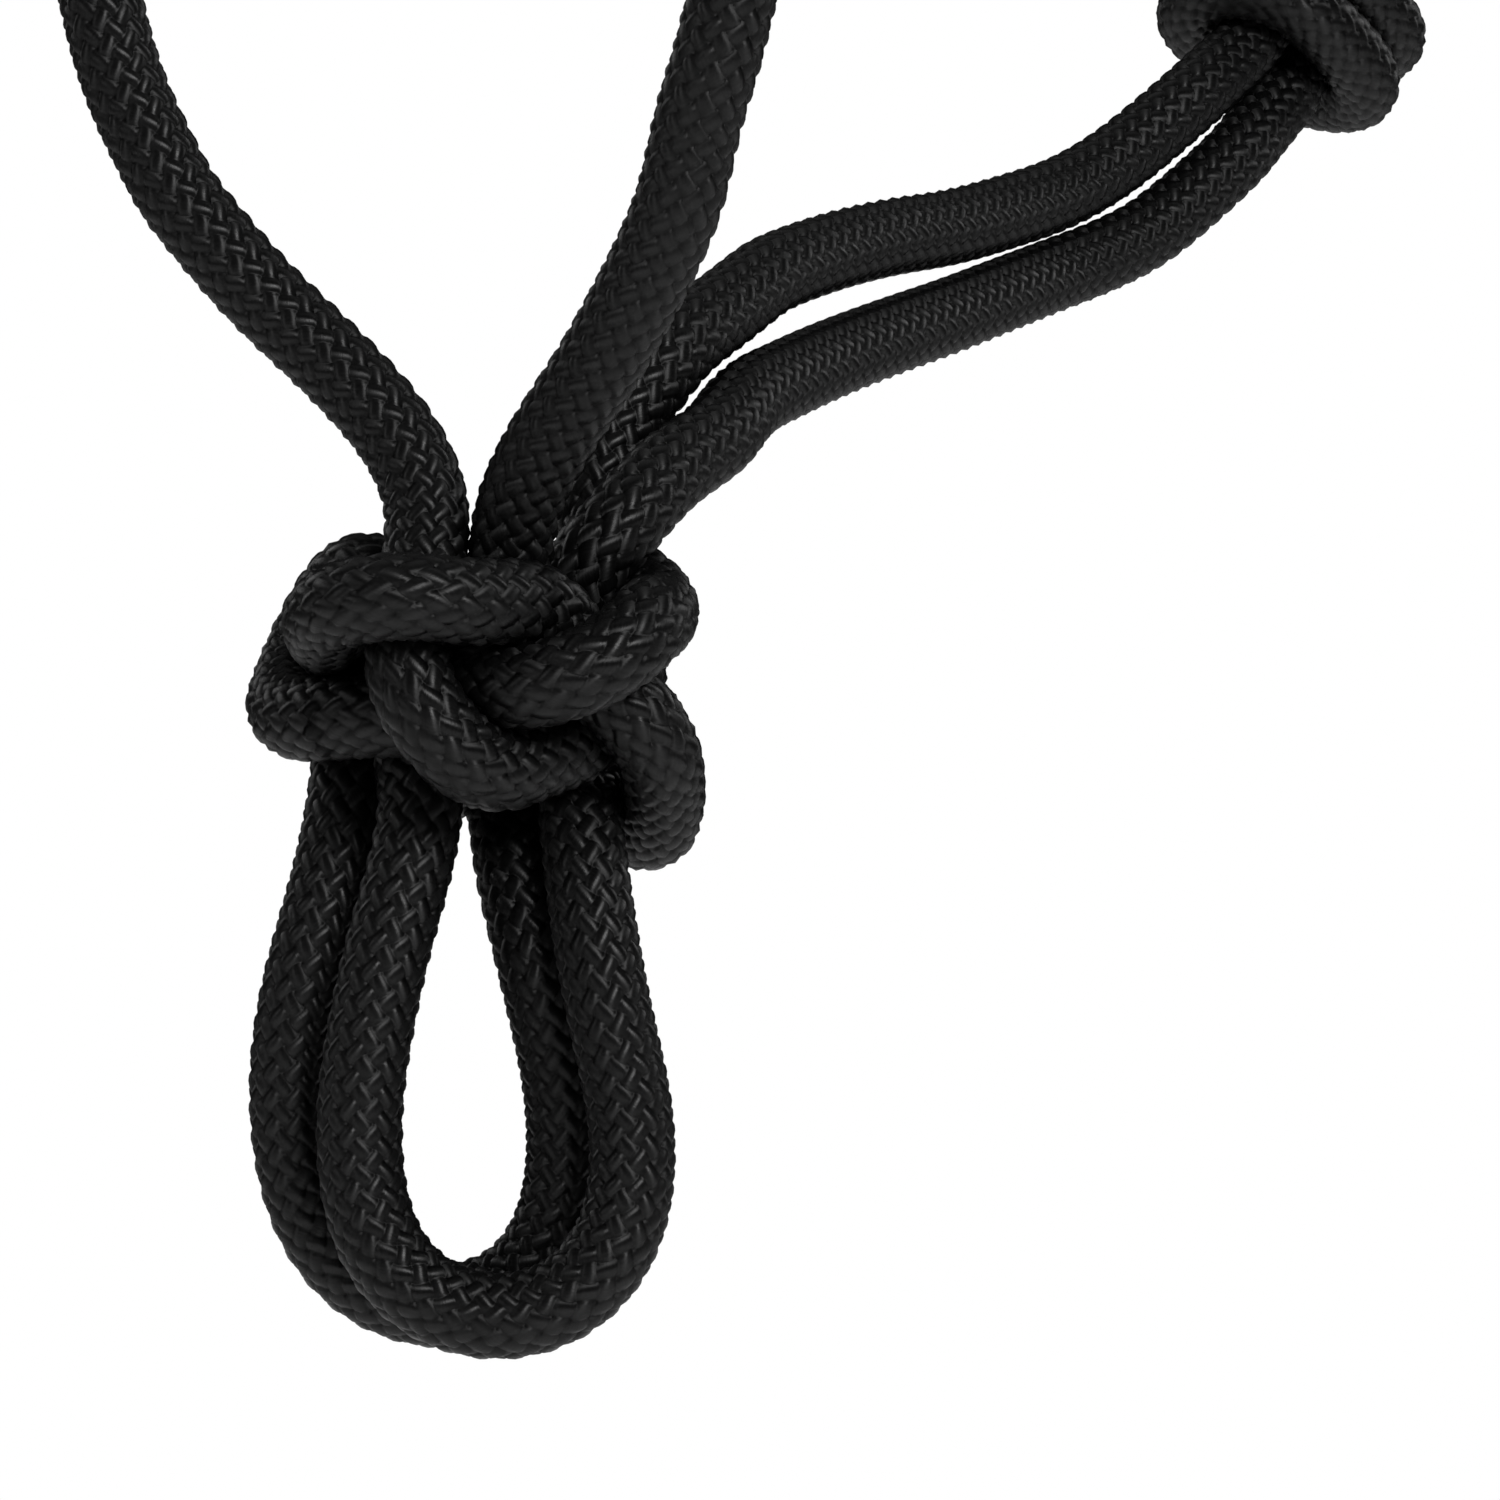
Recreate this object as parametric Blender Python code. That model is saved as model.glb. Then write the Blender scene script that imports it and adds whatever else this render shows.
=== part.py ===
"""Rope halter for a full-size horse, tied from one braided cord.

Frame: origin under the crown where it rests on the poll, +Z up, +X towards the
muzzle, +Y to the horse's left. Sizes are worked in millimetres and turned into
metres when the objects are made.
"""

import math

import bpy
import numpy as np

# ---------------------------------------------------------------- dimensions
CORD = 6.4            # cord diameter, mm
KNOT_CORD = 5.9       # the cord's thickness where a knot squeezes it, mm
GAP = 0.3             # clear gap between touching cords and between cut faces
STEP = 0.3 * CORD     # spacing of the points that routes are worked with
KNOT_RING = 3.8       # spacing of the rings of a tube inside a knot
RUN_RING = 18.0       # longest spacing of the rings of a tube along a free run
KNOT_REACH = 3.3 * CORD   # half the length of a pass through an overhand knot
SIDES = 2             # bevel resolution: eight flats round the cord

FIADOR = np.array([25.0, 0.0, -462.0])      # middle of the fiador knot
CHIN = np.array([153.0, 0.0, -396.0])       # middle of the chin knot
CHEEK = np.array([208.0, 62.0, -343.5])     # left cheek knot; the right one mirrors it
THROAT = np.array([18.0, 88.0, -190.0])     # left throat knot; the right one mirrors it
NOSE = np.array([298.0, 0.0, -292.0])       # middle of the noseband
TAIL_END = -452.0                           # height of the tips of the hanging tails
WHIP = 16.0                                 # length of the whipped, heat-sealed tail end

# The fiador knot is laid out on a drawing sheet that stands in front of it:
# x to the right, y down, SHEET steps to the millimetre at the middle of the
# knot, seen from an eye EYE mm in front of the sheet's middle. The sheet is
# turned AZ degrees off the halter's plane of symmetry. A third number on each
# route point is the lift towards the eye, in cord diameters.
AZ = math.radians(35.0)
EYE = 400.0
SHEET = 85.0 / CORD
MID = (750.0, 750.0)
KNOT_XY = (475.0, 690.0)
FWD = np.array([math.cos(AZ), math.sin(AZ), 0.0])
RIGHT = np.array([math.sin(AZ), -math.cos(AZ), 0.0])
UP = np.array([0.0, 0.0, 1.0])
SHEET_MID = FIADOR - RIGHT * (KNOT_XY[0] - MID[0]) / SHEET + UP * (KNOT_XY[1] - MID[1]) / SHEET


def on_sheet(rows):
    """Route points (x, y, lift) on the sheet, as world points in mm."""
    out = []
    for x, y, lift in rows:
        near = lift * CORD
        s = (EYE - near) / EYE / SHEET
        out.append(SHEET_MID + RIGHT * (x - MID[0]) * s + UP * (MID[1] - y) * s - FWD * near)
    return np.array(out)


# ------------------------------------------------------------ smooth routes
def resample(points, step):
    """The same polyline with its points an equal step apart."""
    points = np.asarray(points, float)
    run = np.concatenate([[0.0], np.cumsum(np.linalg.norm(np.diff(points, axis=0), axis=1))])
    n = max(2, int(round(run[-1] / step)) + 1)
    at = np.linspace(0.0, run[-1], n)
    return np.stack([np.interp(at, run, points[:, k]) for k in range(3)], axis=1)


def smooth_route(rows, step=STEP):
    """A centripetal Catmull-Rom curve through the rows."""
    p = np.asarray(rows, float)
    p = np.vstack([2 * p[0] - p[1], p, 2 * p[-1] - p[-2]])
    out = []
    for i in range(1, len(p) - 2):
        p0, p1, p2, p3 = p[i - 1:i + 3]
        t0 = 0.0
        t1 = t0 + max(np.linalg.norm(p1 - p0), 1e-6) ** 0.5
        t2 = t1 + max(np.linalg.norm(p2 - p1), 1e-6) ** 0.5
        t3 = t2 + max(np.linalg.norm(p3 - p2), 1e-6) ** 0.5
        for t in np.linspace(t1, t2, 24, endpoint=False):
            a1 = (t1 - t) / (t1 - t0) * p0 + (t - t0) / (t1 - t0) * p1
            a2 = (t2 - t) / (t2 - t1) * p1 + (t - t1) / (t2 - t1) * p2
            a3 = (t3 - t) / (t3 - t2) * p2 + (t - t2) / (t3 - t2) * p3
            b1 = (t2 - t) / (t2 - t0) * a1 + (t - t0) / (t2 - t0) * a2
            b2 = (t3 - t) / (t3 - t1) * a2 + (t - t1) / (t3 - t1) * a3
            out.append((t2 - t) / (t2 - t1) * b1 + (t - t1) / (t2 - t1) * b2)
    out.append(p[-2])
    return resample(out, step)


def settle(strands, hold, rounds, radii, slack=0.5, stiff=0.15, window=1.75 * CORD):
    """Draws strands taut round each other without letting them overlap. radii
    are the cord's radii at the points, and hold is how firmly each point keeps
    its place, as rows of (x, y, z) weights."""
    sizes = [len(s) for s in strands]
    p = np.vstack(strands).astype(float)
    h = np.vstack(hold)
    home = p.copy()
    strand = np.repeat(np.arange(len(sizes)), sizes)
    index = np.concatenate([np.arange(n) for n in sizes])
    ids = np.nonzero(np.concatenate([(np.arange(n) > 0) & (np.arange(n) < n - 1) for n in sizes]))[0]
    ids2 = np.nonzero(np.concatenate([(np.arange(n) > 1) & (np.arange(n) < n - 2) for n in sizes]))[0]
    near_by = int(round(window / STEP))
    apart_pairs = (strand[:, None] != strand[None, :]) | (np.abs(index[:, None] - index[None, :]) > near_by)
    apart_pairs &= np.arange(len(p))[:, None] < np.arange(len(p))[None, :]
    r = np.concatenate(radii)
    for k in range(rounds):
        last = k >= rounds * 0.8
        held = h * (0.25 if last else 1.0)
        free = 1.0 - held
        if k % 8 == 0:
            dist = np.sqrt(((p[:, None, :] - p[None, :, :]) ** 2).sum(-1))
            i, j = np.nonzero(apart_pairs & (dist < 1.5 * CORD))
            apart = r[i] + r[j] + GAP + 0.2
        pull = slack * 0.1 if last else slack
        lap = np.zeros_like(p)
        lap[ids] = 0.5 * (p[ids - 1] + p[ids + 1]) - p[ids]
        bend = np.zeros_like(p)
        bend[ids2] = -(p[ids2 - 2] - 4 * p[ids2 - 1] + 6 * p[ids2] - 4 * p[ids2 + 1] + p[ids2 + 2])
        p = p + (pull * lap + stiff * bend) * free
        p = p + held * (home - p)
        for _ in range(8 if last else 4):
            gap = p[i] - p[j]
            d = np.sqrt((gap ** 2).sum(-1))
            over = np.maximum(apart - d, 0.0)
            if not over.any():
                break
            push = gap * (over / np.maximum(d, 1e-6))[:, None]
            hits = np.bincount(i, over > 0, len(p)) + np.bincount(j, over > 0, len(p))
            move = np.stack([np.bincount(i, push[:, c], len(p)) - np.bincount(j, push[:, c], len(p))
                             for c in range(3)], axis=1)
            p = p + 0.9 * move / np.maximum(hits, 1.6)[:, None]
    return np.split(p, np.cumsum(sizes)[:-1])


# ------------------------------------------------------- doubled overhand knot
def doubled_overhand():
    """Two cords tied together in one overhand knot that runs along +X. Each
    comes in at -X and leaves at +X. Returns the two settled centre lines."""
    rows = [(-9.0, 0.0, 0.0), (-5.5, 0.1, 0.0), (-3.0, 0.7, 0.0), (0.0, 1.05, 0.0), (2.4, 1.2, 0.0)]
    turns = np.linspace(28.0, 512.0, 15)
    for n, a in enumerate(turns):
        f = n / (len(turns) - 1)
        rows.append((3.0 - 6.0 * f, 2.6 * math.cos(math.radians(a)), 2.6 * math.sin(math.radians(a))))
    rows += [(-2.4, -1.2, 0.0), (0.0, -1.05, 0.0), (3.0, -0.7, 0.0), (5.5, -0.1, 0.0), (9.0, 0.0, 0.0)]
    mid = smooth_route(np.array(rows) * CORD)
    tangent = np.gradient(mid, axis=0)
    tangent /= np.linalg.norm(tangent, axis=1)[:, None]
    radial = mid * np.array([0.0, 1.0, 1.0])
    size = np.linalg.norm(radial, axis=1)[:, None]
    radial = radial / np.maximum(size, 1e-6)
    n = len(mid)
    f = np.arange(n) / (n - 1)
    radial[:6] = (0.0, 1.0, 0.0)
    radial[-6:] = (0.0, -1.0, 0.0)
    side = np.cross(radial, tangent)
    for _ in range(12):
        side[1:-1] = (side[:-2] + side[1:-1] + side[2:]) / 3
    side -= (side * tangent).sum(1)[:, None] * tangent
    side /= np.linalg.norm(side, axis=1)[:, None]
    a = mid + side * 0.53 * CORD
    b = mid - side * 0.53 * CORD
    hold = np.zeros((n, 3))
    hold[:3] = 1.0
    hold[-3:] = 1.0
    radii = np.where(np.abs(mid[:, 0]) < KNOT_REACH, KNOT_CORD, CORD) / 2
    a, b = settle([a, b], [hold, hold], 500, [radii, radii], slack=0.5, stiff=0.06)
    return a, b


def place(points, at, along, roll, mirror=False):
    """Moves a knot that runs along +X to a place in the halter."""
    along = np.asarray(along, float) / np.linalg.norm(along)
    side = np.cross(UP, along) if abs(along[2]) < 0.9 else np.cross(np.array([1.0, 0.0, 0.0]), along)
    side /= np.linalg.norm(side)
    top = np.cross(along, side)
    c, s = math.cos(math.radians(roll)), math.sin(math.radians(roll))
    y, z = c * side + s * top, -s * side + c * top
    out = points[:, :1] * along + points[:, 1:2] * y + points[:, 2:] * z + at
    return out * np.array([1.0, -1.0, 1.0]) if mirror else out


# ----------------------------------------------------------------- fiador knot
# Each strand runs from the cord above the knot, through it, to one leg of a
# lead loop. The four strands pass each other as in a four-strand diamond knot.
LEFT_THROAT = [
    (181, 200, -1.1), (222, 250, -1.0), (269, 302, -0.9), (311, 341, -0.8), (354, 384, -0.6), (394, 429, -0.5),
    (422, 477, -0.4), (433, 514, -0.35), (440, 560, -0.35), (428, 605, -0.1), (404, 655, 0.8), (415, 698, 1.2),
    (445, 732, 1.2), (490, 747, 1.1), (545, 741, 0.7), (598, 733, -0.1), (616, 722, -1.0), (580, 712, -1.85),
    (510, 722, -2.2), (440, 732, -2.0), (385, 738, -1.4), (355, 768, -0.7), (344, 820, -0.35), (330, 889, -0.3),
    (312, 953, -0.35)]
LEFT_CHIN = [
    (763, 279, -4.7), (718, 315, -3.7), (682, 346, -2.9), (645, 392, -2.4), (612, 445, -2.0), (590, 500, -1.8),
    (585, 550, -1.75), (602, 592, -1.7), (626, 612, -1.15), (636, 638, -0.1), (618, 656, 0.85), (580, 672, 1.4),
    (520, 689, 1.3), (470, 700, 0.55), (425, 712, 0.05), (380, 714, 0.1), (335, 708, 0.25), (302, 704, -0.3),
    (312, 672, -1.3), (335, 625, -1.8), (345, 585, -1.2), (362, 566, -0.6), (395, 580, -0.75), (418, 625, -0.85),
    (425, 690, -0.85),
    (425, 745, -0.45), (424, 790, 0.0), (418, 830, 0.25), (404, 889, 0.35), (386, 953, 0.4)]
RIGHT_THROAT = [
    (679, 202, 2.4), (660, 250, 2.1), (636, 296, 1.85), (615, 336, 1.6), (590, 379, 1.25), (561, 421, 0.9),
    (536, 464, 0.55), (515, 510, 0.25), (503, 560, -0.05), (500, 610, -0.15), (508, 665, -0.3), (505, 715, -0.8),
    (465, 738, -1.5), (412, 725, -2.1), (380, 680, -2.4), (395, 640, -2.7), (445, 640, -3.0), (510, 665, -3.1),
    (570, 692, -2.7), (603, 722, -1.7), (606, 760, -0.6), (594, 795, -0.05), (582, 838, 0.3), (591, 911, 0.4),
    (602, 975, 0.4)]
RIGHT_CHIN = [
    (781, 382, -4.3), (736, 404, -3.1), (696, 440, -2.0), (665, 471, -1.4), (638, 510, -0.9), (616, 550, -0.7),
    (600, 590, -0.7), (590, 640, -0.9), (588, 700, -1.3), (598, 738, -1.85), (618, 768, -1.6), (636, 770, -1.05),
    (640, 735, -0.5), (625, 700, 0.0), (590, 662, 0.35), (545, 630, 0.95), (490, 614, 1.5), (440, 606, 1.6),
    (385, 608, 1.4), (340, 622, 0.9), (328, 636, 0.2), (338, 652, -0.5), (375, 678, -1.4), (430, 700, -1.8),
    (475, 728, -1.4), (500, 780, -1.0), (508, 850, -0.6), (528, 920, -0.45), (545, 990, -0.45)]
FRONT_LOOP = [
    (373, 1017, 0.45), (362, 1081, 0.5), (359, 1145, 0.5), (366, 1205, 0.55), (389, 1262, 0.6), (434, 1302, 0.6),
    (496, 1318, 0.6), (558, 1304, 0.6), (603, 1266, 0.6), (627, 1213, 0.55), (633, 1150, 0.5), (628, 1095, 0.45),
    (615, 1039, 0.45)]
REAR_LOOP = [
    (297, 1022, -0.4), (291, 1090, -0.45), (298, 1165, -0.5), (319, 1228, -0.55), (360, 1278, -0.58), (412, 1303, -0.6),
    (462, 1306, -0.6), (508, 1290, -0.58), (544, 1252, -0.55), (564, 1200, -0.5), (569, 1140, -0.5), (566, 1090, -0.45),
    (558, 1045, -0.45)]


def fiador_strands():
    """The four strands of the knot with both lead loops on them, settled."""
    front = smooth_route(on_sheet(LEFT_CHIN + FRONT_LOOP + RIGHT_THROAT[::-1]))
    rear = smooth_route(on_sheet(LEFT_THROAT + REAR_LOOP + RIGHT_CHIN[::-1]))
    to_view = np.stack([RIGHT, UP, -FWD])
    strands = [(s - FIADOR) @ to_view.T for s in (front, rear)]
    hold, radii = [], []
    for s in strands:
        h = np.zeros((len(s), 3))
        seen = np.clip((s[:, 2] / CORD + 1.9) / 0.8, 0.0, 1.0)
        h[:, :2] = (0.02 + 0.13 * seen)[:, None]
        h[:, 2] = 0.01
        out = (s[:, 1] < -20.0) | (s[:, 1] > 22.0)
        h[out] = 0.3
        hold.append(h)
        radii.append(np.where(np.abs(s[:, 1]) < 12.0, KNOT_CORD, CORD) / 2)
    strands = settle(strands, hold, 320, radii, slack=0.3, stiff=0.05, window=2.0 * CORD)
    return [s @ to_view + FIADOR for s in strands]


# Both chin strands run forward, side by side, to the chin knot.
CHIN_HIGH = [
    (821, 255, -6.0), (883, 238.5, -7.4), (950, 227, -8.9), (1010, 210.5, -10.3), (1068, 189.5, -11.5),
    (1116, 160.5, -12.25)]
CHIN_LOW = [
    (834, 358, -5.7), (892, 336, -7.1), (950, 315.5, -8.5), (1004, 294.5, -9.8), (1053, 275.5, -11.0),
    (1104, 255.5, -11.8), (1150, 231, -12.5)]
LEFT_THROAT_UP = [(152, 146, -1.2), (131, 102, -1.3), (113, 50, -1.35), (101, 0, -1.4)]
RIGHT_THROAT_UP = [(692, 146, 2.6), (702, 104, 2.8), (715, 64, 2.95), (731, 0, 3.1)]

# Where each doubled overhand knot sits, the way it runs, and its roll.
CHIN_RUN, CHIN_ROLL, CHIN_TURN = (0.84, 0.0, 0.54), -12.0, -1.0
CHEEK_RUN, CHEEK_ROLL = (0.98, -0.05, 0.14), 0.0
THROAT_RUN, THROAT_ROLL = (0.0, -0.06, 1.0), 0.0
TIE = np.array([15.0, 111.0, -160.0])       # stopper knot that ties the crown off
TIE_RUN, TIE_ROLL = (0.0, 0.12, -1.0), 0.0
LOOP_CUT = FIADOR[2] - 13.0                 # the fixed legs of the lead loops end here
LOOP_SWING = 2.9                            # gap that lets the loops swing
TAIL_SWING = 2.6                            # gap that lets the tails swing


def flip(points):
    return np.asarray(points) * np.array([1.0, -1.0, 1.0])


def bridge(start, guide, end, out=4.5, into=4.5):
    """A run from the last points of one pass to the first points of the next.
    It goes straight on for out mm, and comes in straight for the last into mm."""
    ahead = (start[-1] - start[-4]) / np.linalg.norm(start[-1] - start[-4]) * out
    behind = (end[3] - end[0]) / np.linalg.norm(end[3] - end[0]) * into
    rows = [start[[-9, -5, -1]], np.reshape(guide, (-1, 3)), [end[0] - behind], end[[0, 4, 8]]]
    if out:
        rows.insert(1, [start[-1] + ahead])
    rows = np.vstack(rows)
    run = smooth_route(rows)
    lo = np.linalg.norm(run - start[-1], axis=1).argmin()
    hi = np.linalg.norm(run - end[0], axis=1).argmin()
    run = run[lo:hi + 1]
    run[0], run[-1] = start[-1], end[0]
    return run


def part_at(points, test):
    """The first index at which test holds."""
    return int(np.nonzero(test(points))[0][0])


def trim(points, head, tail):
    """Takes head and tail millimetres off the two ends."""
    run = np.concatenate([[0.0], np.cumsum(np.linalg.norm(np.diff(points, axis=0), axis=1))])
    keep = (run > head + 0.05) & (run < run[-1] - tail - 0.05)
    ends = [np.array([np.interp(at, run, points[:, k]) for k in range(3)]) for at in (head, run[-1] - tail)]
    return np.vstack([ends[0], points[keep], ends[1]])


def rings(points, longest, turn):
    """Fewer points: a ring each time the line has run or turned so far."""
    step = np.diff(points, axis=0)
    size = np.linalg.norm(step, axis=1)
    step = step / size[:, None]
    keep, run, bent = [0], 0.0, 0.0
    for i in range(1, len(points) - 1):
        run += size[i - 1]
        bent += math.acos(max(-1.0, min(1.0, float(step[i - 1] @ step[i]))))
        if run >= longest or (bent >= turn and run >= KNOT_RING):
            keep.append(i)
            run, bent = 0.0, 0.0
    if run + size[-1] < 1.2 and len(keep) > 1:
        keep.pop()
    return points[keep + [len(points) - 1]]


def square_ends(lines, centres):
    """Where two cut ends face each other, both get the same direction there,
    and a ring just inside the cut keeps the faces parallel and GAP apart."""
    ends = [(name, at) for name in centres for at in (0, -1)]
    for i, (a, p) in enumerate(ends):
        for b, q in ends[i + 1:]:
            if a == b or np.linalg.norm(centres[a][p] - centres[b][q]) > 1.0:
                continue
            mid = 0.5 * (centres[a][p] + centres[b][q])
            along = lines[b][2 if q == 0 else -3] - lines[a][2 if p == 0 else -3]
            along /= np.linalg.norm(along)
            for name, at, way in ((a, p, -along), (b, q, along)):
                c = centres[name]
                c[at] = mid + way * 0.5 * GAP
                centres[name] = np.insert(c, 1 if at == 0 else len(c) - 1, c[at] + way * 1.5, axis=0)
    return centres


def halter_runs():
    """Every run and knot pass of the cord: {name: centre line in mm}."""
    front, rear = fiador_strands()
    a, b = doubled_overhand()
    inside = [np.nonzero(np.abs(line[:, 0]) < KNOT_REACH)[0] for line in (a, b)]
    a, b = (line[i[0]:i[-1] + 1] for line, i in zip((a, b), inside))

    chin = [place(k * np.array([1.0, CHIN_TURN, 1.0]), CHIN, CHIN_RUN, CHIN_ROLL) for k in (a, b)]
    cheek = {"left": [place(k, CHEEK, CHEEK_RUN, CHEEK_ROLL) for k in (a, b)]}
    throat = {"left": [place(k, THROAT, THROAT_RUN, THROAT_ROLL) for k in (a, b)]}
    cheek["right"] = [flip(k) for k in cheek["left"]]
    throat["right"] = [flip(k) for k in throat["left"]]
    tie = [place(k, TIE, TIE_RUN, TIE_ROLL) for k in (a, b)]

    out = {}
    # The fiador knot: each strand is cut where it leaves the knot.
    top, low = FIADOR[2] + 12.0, LOOP_CUT
    for name, line, up_name, down_name in (("front", front, "left_chin", "right_throat"),
                                           ("rear", rear, "left_throat", "right_chin")):
        i0 = part_at(line, lambda p: p[:, 2] < top)
        i1 = part_at(line, lambda p: p[:, 2] < low)
        j1 = len(line) - part_at(line[::-1], lambda p: p[:, 2] < low) - 1
        j0 = len(line) - part_at(line[::-1], lambda p: p[:, 2] < top) - 1
        out["fiador_" + up_name + "_pass"] = line[i0:i1 + 1]
        out["fiador_" + down_name + "_pass"] = line[j1:j0 + 1][::-1]
        out["lead_loop_" + name] = line[i1:j1 + 1]
        out[up_name + "_lead"] = line[:i0 + 1]
        out[down_name + "_lead"] = line[j0:][::-1]

    # Chin strands: from the fiador knot to the chin knot.
    for name, guide, pass_in in (("left_chin", CHIN_HIGH, chin[1]), ("right_chin", CHIN_LOW, chin[0])):
        lead = out.pop(name + "_lead")
        run = bridge(lead[::-1], on_sheet(guide), pass_in, out=0.0)
        out["chin_strand_" + name.split("_")[0]] = np.vstack([lead[::-1], run[1:]])
    out["chin_knot_upper_pass"], out["chin_knot_lower_pass"] = chin[1], chin[0]

    for side, turn in (("left", np.array([1.0, 1.0, 1.0])), ("right", np.array([1.0, -1.0, 1.0]))):
        chin_pass = chin[0] if side == "left" else chin[1]
        # Jaw strand: chin knot to the lower lead of the cheek knot.
        guide = [np.array([178.5, 10.5, -378.5]) * turn, np.array([179.0, 26.0, -371.5]) * turn,
                 np.array([175.5, 43.0, -363.5]) * turn, np.array([175.0, 58.0, -356.0]) * turn]
        out["jaw_strand_" + side] = bridge(chin_pass, guide, cheek[side][0])
        out["cheek_knot_%s_jaw_pass" % side] = cheek[side][0]
        out["cheek_knot_%s_cheek_pass" % side] = cheek[side][1]
        # Cheek piece: throat knot's front lead down to the cheek knot's upper lead.
        out["cheek_piece_" + side] = bridge(throat[side][1][::-1], [
            np.array([31.0, 88.0, -224.0]) * turn, np.array([66.0, 86.5, -247.0]) * turn,
            np.array([104.0, 81.5, -274.0]) * turn, np.array([138.0, 74.5, -305.0]) * turn,
            np.array([163.0, 68.0, -331.0]) * turn], cheek[side][1])
        out["throat_knot_%s_throat_pass" % side] = throat[side][0]
        out["throat_knot_%s_cheek_pass" % side] = throat[side][1]
        # Throat strand: throat knot's rear lead down to the fiador knot.
        lead = out.pop(side + "_throat_lead")
        guide = on_sheet(LEFT_THROAT_UP if side == "left" else RIGHT_THROAT_UP)
        upper = [np.array([17.0, 42.0, -366.0]) * turn, np.array([13.0, 62.0, -306.0]) * turn,
                 np.array([12.0, 77.0, -254.0]) * turn]
        run = bridge(lead[::-1], np.vstack([guide, upper]), throat[side][0], out=0.0)
        out["throat_strand_" + side] = np.vstack([lead[::-1], run[1:]])

    # Noseband: two cords side by side over the nose, from knot to knot.
    for name, k, lift in (("upper", 0, 4.1), ("lower", 1, -4.1)):
        across = np.array([-0.55, 0.0, 0.83]) * lift
        half = [np.array(p) + across for p in ((251.0, 57.5, -328.0), (277.5, 43.0, -307.0), (293.5, 20.5, -295.0))]
        guide = half + [NOSE + across] + [flip(p) for p in half[::-1]]
        out["noseband_" + name] = bridge(cheek["left"][k], guide, cheek["right"][k][::-1])

    # Crown: two cords from the right throat knot over the poll to the tie knot.
    for name, k, off in (("front", 0, 3.5), ("rear", 1, -3.5)):
        o = np.array([off, 0.0, 0.0])
        r = 0.5 * CORD
        guide = [np.array(p) + o for p in (
            (14.0, -97.0, -130.0), (9.0, -95.0, -88.0), (4.0, -78.0, -42.0), (1.0, -44.0, -11.0 + r), (0.0, 0.0, r),
            (1.0, 44.0, -11.0 + r), (5.0, 74.0, -42.0), (11.0, 79.0, -80.0), (15.0, 80.5, -104.0),
            (15.0, 89.0, -119.0), (15.0, 101.0, -127.0))]
        t = tie[1] if name == "front" else tie[0]
        out["crown_strand_" + name] = bridge(throat["right"][k], guide, t)
    out["tie_knot_rear_pass"], out["tie_knot_front_pass"] = tie

    # Crown eye loop on the left, a bight that the crown cords pass through.
    x, y, z = THROAT
    loop = [(x + 9.5, y - 0.5, z + 46.0), (x + 12.5, y + 0.5, z + 65.0), (x + 8.5, y + 1.0, z + 82.0),
            (x - 1.5, y + 1.0, z + 90.0), (x - 11.5, y + 1.0, z + 82.0), (x - 15.5, y + 0.5, z + 65.0),
            (x - 10.5, y - 0.5, z + 46.0)]
    out["crown_eye_loop"] = bridge(throat["left"][0], loop, throat["left"][1][::-1])

    # Hanging tails below the tie knot, side by side, with their whipped tips.
    for name, t, dx in (("front", tie[0], 5.5), ("rear", tie[1], -5.5)):
        x0, y0, z0 = t[-1]
        sx = 1.0 if t[-1][0] > TIE[0] else -1.0
        low = TAIL_END + (0.0 if name == "front" else 18.0)
        guide = [(TIE[0] + sx * 3.8, y0 + 1.0, z0 - 18.0), (TIE[0] + sx * 4.5, y0 + 2.0, z0 - 80.0),
                 (TIE[0] + sx * 7.0, y0 + 1.0, z0 - 160.0), (TIE[0] + sx * 8.5, y0 - 1.0, (low + z0 - 160.0) / 2)]
        rows = np.vstack([t[[-9, -5, -1]], guide, [(TIE[0] + sx * 9.5, y0 - 2.0, low)]])
        run = smooth_route(rows)
        run = run[np.linalg.norm(run - t[-1], axis=1).argmin():]
        cut = part_at(run, lambda p: p[:, 2] < low + WHIP)
        out["tail_" + name] = run[:cut + 1]
        out["tail_whipping_" + name] = run[cut:]
    return out


# What swings: the lead loops under the fiador knot, and the two tails below
# the tie knot. A pivot is (point, axis).
LOOP_PIVOT = on_sheet([(464, 0, -0.01)])[0] * np.array([1.0, 1.0, 0.0]) + UP * (LOOP_CUT - 0.5 * LOOP_SWING)
TAIL_NODES = ("tail_front", "tail_rear", "tail_whipping_front", "tail_whipping_rear")


def node_tubes():
    """{name: (ring centres in mm, diameter, pivot or None)} for every node."""
    runs = halter_runs()
    tie_end = 0.5 * (runs["tie_knot_front_pass"][-1] + runs["tie_knot_rear_pass"][-1])
    tail_pivot = tie_end + np.array([0.0, 0.0, -0.5 * TAIL_SWING])
    lines, centres, pivots = {}, {}, {}
    for name, line in runs.items():
        head = tail = 0.5 * GAP
        pivots[name] = None
        if name.startswith("lead_loop"):
            head = tail = LOOP_SWING
            pivots[name] = LOOP_PIVOT
        if name in TAIL_NODES:
            pivots[name] = tail_pivot
        if name in ("tail_front", "tail_rear"):
            head = TAIL_SWING
        if name.startswith("tail_whipping"):
            tail = 0.0
        line = resample(trim(line, head, tail), 0.8)
        lines[name] = line
        if name.startswith("tail_whipping"):
            centres[name] = resample(line, 5.5)
        elif "pass" in name:
            centres[name] = resample(line, KNOT_RING)
        else:
            centres[name] = rings(line, RUN_RING, math.radians(12.0))
    centres = square_ends(lines, centres)
    made = {}
    for name in runs:
        size = CORD + 1.2 if "whipping" in name else KNOT_CORD if "pass" in name else CORD
        made[name] = (centres[name], size, pivots[name])
    return made


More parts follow.
